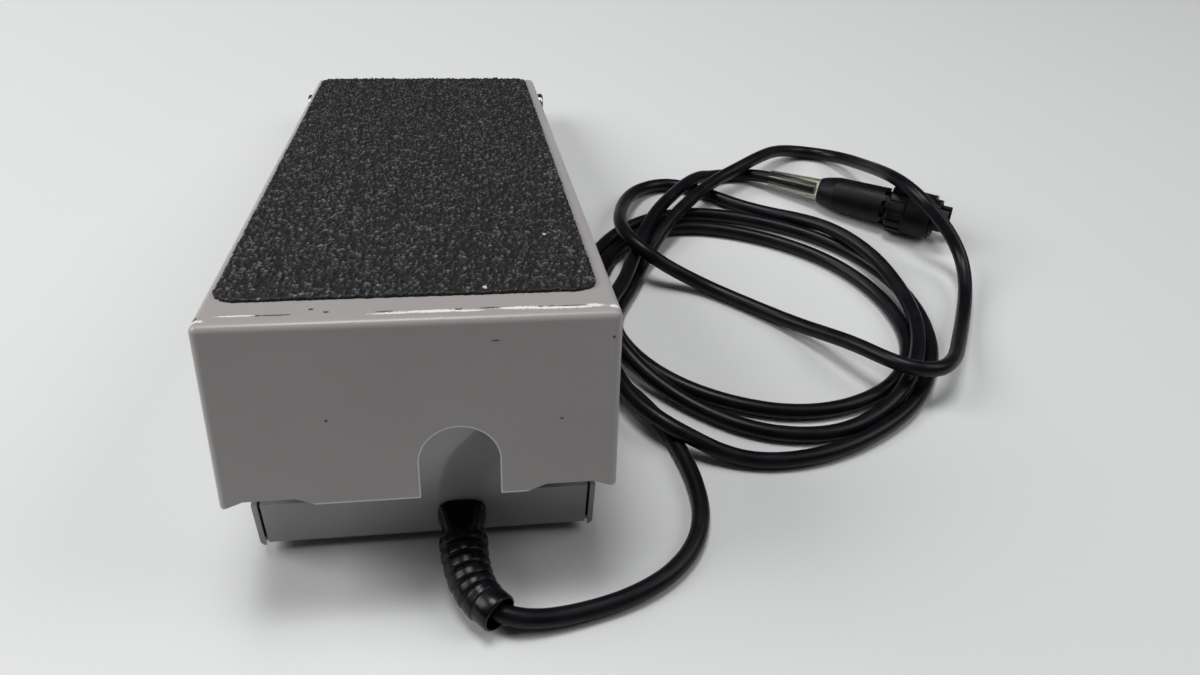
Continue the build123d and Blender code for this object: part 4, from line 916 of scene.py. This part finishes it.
# The rack under the cover and what it drives: a moulded nylon toothed sector on a small plated bracket,
# riveted up through the sheet, and the machined brass pinion and nut of the potentiometer.
finish_node(
    moulded("rack nylon", (0.68, 0.66, 0.59), (0.55, 0.52, 0.45), 90.0, 900.0, 0.34, 0.48, 0.00002),
    "rack_sector",
)
finish_node(
    bare_metal("rivet aluminium", (0.74, 0.74, 0.75), (0.55, 0.55, 0.56), 420.0, 0.32, 0.5),
    "rack_rivets",
)
finish_node(
    bare_metal("machined brass", (0.68, 0.49, 0.21), (0.42, 0.29, 0.13), 300.0, 0.22, 0.4),
    "pinion",
    "pot_nut",
)

# The potentiometer on its upright bracket: a pressed can with tinned lugs, wired to the cord in
# three plain insulated wires. The plug's pins are of the same tinned brass.
finish_node(
    bare_metal("pressed can", (0.58, 0.58, 0.57), (0.40, 0.40, 0.40), 180.0, 0.3, 0.5),
    "pot_body",
    "pot_washer",
)
finish_node(
    bare_metal("tinned brass", (0.70, 0.67, 0.60), (0.50, 0.46, 0.38), 400.0, 0.26, 0.45),
    "pot_lugs",
    "plug_contacts",
)
finish_node(
    moulded("wire insulation", (0.33, 0.02, 0.018), (0.24, 0.03, 0.025), 200.0, 1400.0, 0.3, 0.42, 0.00001),
    "lead_wires",
)

# The strain relief: one black vinyl moulding with a satin face that snaps into the tray's front wall.
# It has a squarish flared collar, six round ribs along the cord's first bend, and a plain open cuff.
neck_radius = 0.0055
flange_radius = 0.0067
flange_depth = 0.0040
wall_thickness = 0.0015
collar_length = 0.0080
collar_wide = 0.0069
collar_narrow = 0.0053
collar_squareness = 1.6
small_chamfer = 0.0003
flange_chamfer = 0.0004
first_rib = 0.0098
rib_pitch = 0.0035
rib_count = 6
rib_half_width = 0.00162
rib_wide = 0.0069
rib_narrow = 0.0060
groove_radius = 0.0054
straight_from = 0.0280
cuff_start = 0.0276
cuff_radius = 0.0057
cuff_end = 0.0342
mouth_radius = 0.0047
mouth_depth = 0.0042
cord_gap_radius = 0.0029
wall_face = -0.11803
levelling_length = 0.006
end_rise = 0.05
outline_steps = 8
sides = 40
bend_point_count = 260

bare_line = cord_line.copy()
bare_line.bevel_depth = 0.0
bare_line.resolution_u = 12
bare_cord = bpy.data.objects.new("bare line", bare_line)
scene.collection.objects.link(bare_cord)
settled = bare_cord.evaluated_get(bpy.context.evaluated_depsgraph_get())
line_mesh = bpy.data.meshes.new_from_object(settled)
line_points = [point.co.copy() for point in line_mesh.vertices][:bend_point_count]
bpy.data.objects.remove(bare_cord)
bpy.data.meshes.remove(line_mesh)
run = [0.0]
for start, stop in zip(line_points, line_points[1:]):
    run.append(run[-1] + (stop - start).length)
at_wall = next(
    length + (point.y - wall_face)
    for point, following, length in zip(line_points, line_points[1:], run)
    if following.y <= wall_face
)


def cord_place(distance):
    """Middle of the relief and its direction, this far out from the wall: it ends straight, all but level."""
    wanted = at_wall + min(distance, straight_from)
    index = next(step for step, length in enumerate(run) if length > wanted)
    share = (wanted - run[index - 1]) / (run[index] - run[index - 1])
    spot = line_points[index - 1].lerp(line_points[index], share)
    lower = max(0, index - 3)
    direction = (line_points[index + 2] - line_points[lower]).normalized()
    level = max(0.0, min(1.0, (distance - straight_from + levelling_length) / levelling_length))
    rise = direction.z * (1 - level) + end_rise * level
    direction = Vector((direction.x, direction.y, rise)).normalized()
    return spot + direction * max(0.0, distance - straight_from), direction


outline = [
    (-flange_depth, cord_gap_radius),
    (-flange_depth, flange_radius - flange_chamfer),
    (-flange_depth + flange_chamfer, flange_radius),
    (-wall_thickness, flange_radius),
    (-wall_thickness, neck_radius),
    (0.0, neck_radius),
    (0.0, collar_wide - small_chamfer),
    (small_chamfer, collar_wide),
]
for step in range(1, outline_steps + 1):
    share = step / outline_steps
    outline.append((collar_length * share, collar_wide + (collar_narrow - collar_wide) * share**0.8))
for rib in range(rib_count):
    centre = first_rib + rib * rib_pitch
    radius = rib_wide + (rib_narrow - rib_wide) * rib / (rib_count - 1)
    for step in range(-outline_steps, outline_steps + 1):
        share = abs(step) / outline_steps
        crown = (1 - share**5) ** 0.5
        spot = centre + rib_half_width * step / outline_steps
        outline.append((spot, groove_radius + (radius - groove_radius) * crown))
outline += [
    (cuff_start, groove_radius),
    (cuff_start + small_chamfer, cuff_radius - 0.0001),
    (cuff_start + 0.0008, cuff_radius),
    (cuff_end - 0.0030, cuff_radius - 0.0001),
    (cuff_end - 0.0006, cuff_radius - 0.0001),
    (cuff_end - 0.0001, cuff_radius - 0.0004),
    (cuff_end, cuff_radius - 0.0008),
    (cuff_end - small_chamfer, mouth_radius),
    (cuff_end - mouth_depth, mouth_radius - 0.0004),
    (cuff_end - mouth_depth, cord_gap_radius),
]
build = bmesh.new()
rings = []
for distance, radius in outline:
    middle, forward = cord_place(distance)
    across_cord = forward.cross(Vector((0, 0, 1))).normalized()
    above_cord = across_cord.cross(forward).normalized()
    square_share = max(0.0, min(1.0, 1 - distance / collar_length)) * (radius > neck_radius)
    squareness = 2.0 + collar_squareness * square_share
    ring = []
    for side in range(sides):
        angle = 2 * math.pi * side / sides
        c = math.cos(angle)
        d = math.sin(angle)
        reach = radius / (abs(c) ** squareness + abs(d) ** squareness) ** (1 / squareness)
        ring.append(build.verts.new(middle + reach * (c * across_cord + d * above_cord)))
    rings.append(ring)
rings.append(rings[0])
for near, far in zip(rings, rings[1:]):
    for side in range(sides):
        after = (side + 1) % sides
        build.faces.new((near[side], near[after], far[after], far[side]))
bmesh.ops.recalc_face_normals(build, faces=build.faces)
relief_mesh = bpy.data.meshes.new("ribbed relief")
build.to_mesh(relief_mesh)
build.free()
relief_mesh.shade_smooth()
relief_mesh.materials.append(
    moulded(
        "relief vinyl", (0.003, 0.003, 0.005), (0.007, 0.007, 0.009), 120.0, 1800.0, 0.24, 0.36, 0.00001, 0.26
    )
)
ribbed_relief = bpy.data.objects.new("ribbed_relief", relief_mesh)
scene.collection.objects.link(ribbed_relief)
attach(ribbed_relief, "base")
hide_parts("strain_relief")

# The in-line plug: a matt moulded backshell, a keyed front shell and a ribbed coupling ring that turns
# on it, all in black nylon that has greyed a little where it is handled.
plug_nylon = moulded(
    "plug nylon", (0.0035, 0.0035, 0.005), (0.009, 0.009, 0.011), 130.0, 2200.0, 0.42, 0.56, 0.00003, 0.16
)
finish_node(plug_nylon, "plug_backshell", "plug_shell", "coupling_ring")

# The clear sleeve over the cord behind the plug: thin soft vinyl, gone a little yellow, pushed on over
# the cord, which shows dark through it.
sleeve_finish = bpy.data.materials.new("clear vinyl")
sleeve_finish.use_nodes = True
tree = sleeve_finish.node_tree
shader = tree.nodes["Principled BSDF"]
shader.inputs["Transmission Weight"].default_value = 1.0
shader.inputs["IOR"].default_value = 1.42
place = tree.nodes.new("ShaderNodeTexCoord")
cloud = tree.nodes.new("ShaderNodeTexNoise")
cloud.inputs["Scale"].default_value = 240.0
cloud.inputs["Detail"].default_value = 4.0
yellowing = tree.nodes.new("ShaderNodeMix")
yellowing.data_type = "RGBA"
yellowing.inputs["A"].default_value = (0.98, 0.97, 0.90, 1)
yellowing.inputs["B"].default_value = (0.94, 0.91, 0.76, 1)
haze = tree.nodes.new("ShaderNodeMapRange")
haze.inputs["To Min"].default_value = 0.10
haze.inputs["To Max"].default_value = 0.22
links = tree.links
links.new(place.outputs["Object"], cloud.inputs["Vector"])
links.new(cloud.outputs["Fac"], yellowing.inputs["Factor"])
links.new(yellowing.outputs["Result"], shader.inputs["Base Color"])
links.new(cloud.outputs["Fac"], haze.inputs["Value"])
links.new(haze.outputs["Result"], shader.inputs["Roughness"])
finish_node(sleeve_finish, "clear_sleeve")

# The table: one plain pale sheet with a dull face, wider than the picture. It isn't part of the pedal,
# so it is only staged.
floor_reach = 4
floor_mesh = bpy.data.meshes.new("pale sheet")
floor_corners = [
    (-floor_reach, -floor_reach, 0),
    (floor_reach, -floor_reach, 0),
    (floor_reach, floor_reach, 0),
    (-floor_reach, floor_reach, 0),
]
floor_mesh.from_pydata(floor_corners, [], [(0, 1, 2, 3)])
floor = bpy.data.objects.new("floor", floor_mesh)
scene.collection.objects.link(floor)
floor_finish = bpy.data.materials.new("pale sheet")
floor_finish.use_nodes = True
floor_shader = floor_finish.node_tree.nodes["Principled BSDF"]
floor_shader.inputs["Base Color"].default_value = (0.69, 0.695, 0.70, 1)
floor_shader.inputs["Roughness"].default_value = 0.55
floor_mesh.materials.append(floor_finish)

# Soft square lights high on both sides, the left one stronger, and a smaller one overhead, in a dim
# room: the top is lit, and the front and the tray's wall stay in shade.
light_aim = Vector((0.05, 0, 0))
room = bpy.data.worlds.new("dim room")
scene.world = room
room.use_nodes = True
room.node_tree.nodes["Background"].inputs["Color"].default_value = (0.95, 0.97, 1.0, 1)
room.node_tree.nodes["Background"].inputs["Strength"].default_value = 0.03
for name, stand, side, power in (
    ("left light", (-1.2, 0.08, 0.98), 0.9, 16.0),
    ("right light", (1.2, -0.1, 1.2), 0.9, 7.0),
    ("overhead light", (-0.1, 0.15, 1.45), 0.5, 11.2),
):
    light_data = bpy.data.lights.new(name, "AREA")
    light_data.shape = "SQUARE"
    light_data.size = side
    light_data.energy = power
    light = bpy.data.objects.new(name, light_data)
    light.location = stand
    light.rotation_euler = (light_aim - Vector(stand)).to_track_quat("-Z", "Y").to_euler()
    scene.collection.objects.link(light)
scene.view_settings.view_transform = "Standard"

bpy.context.view_layer.update()
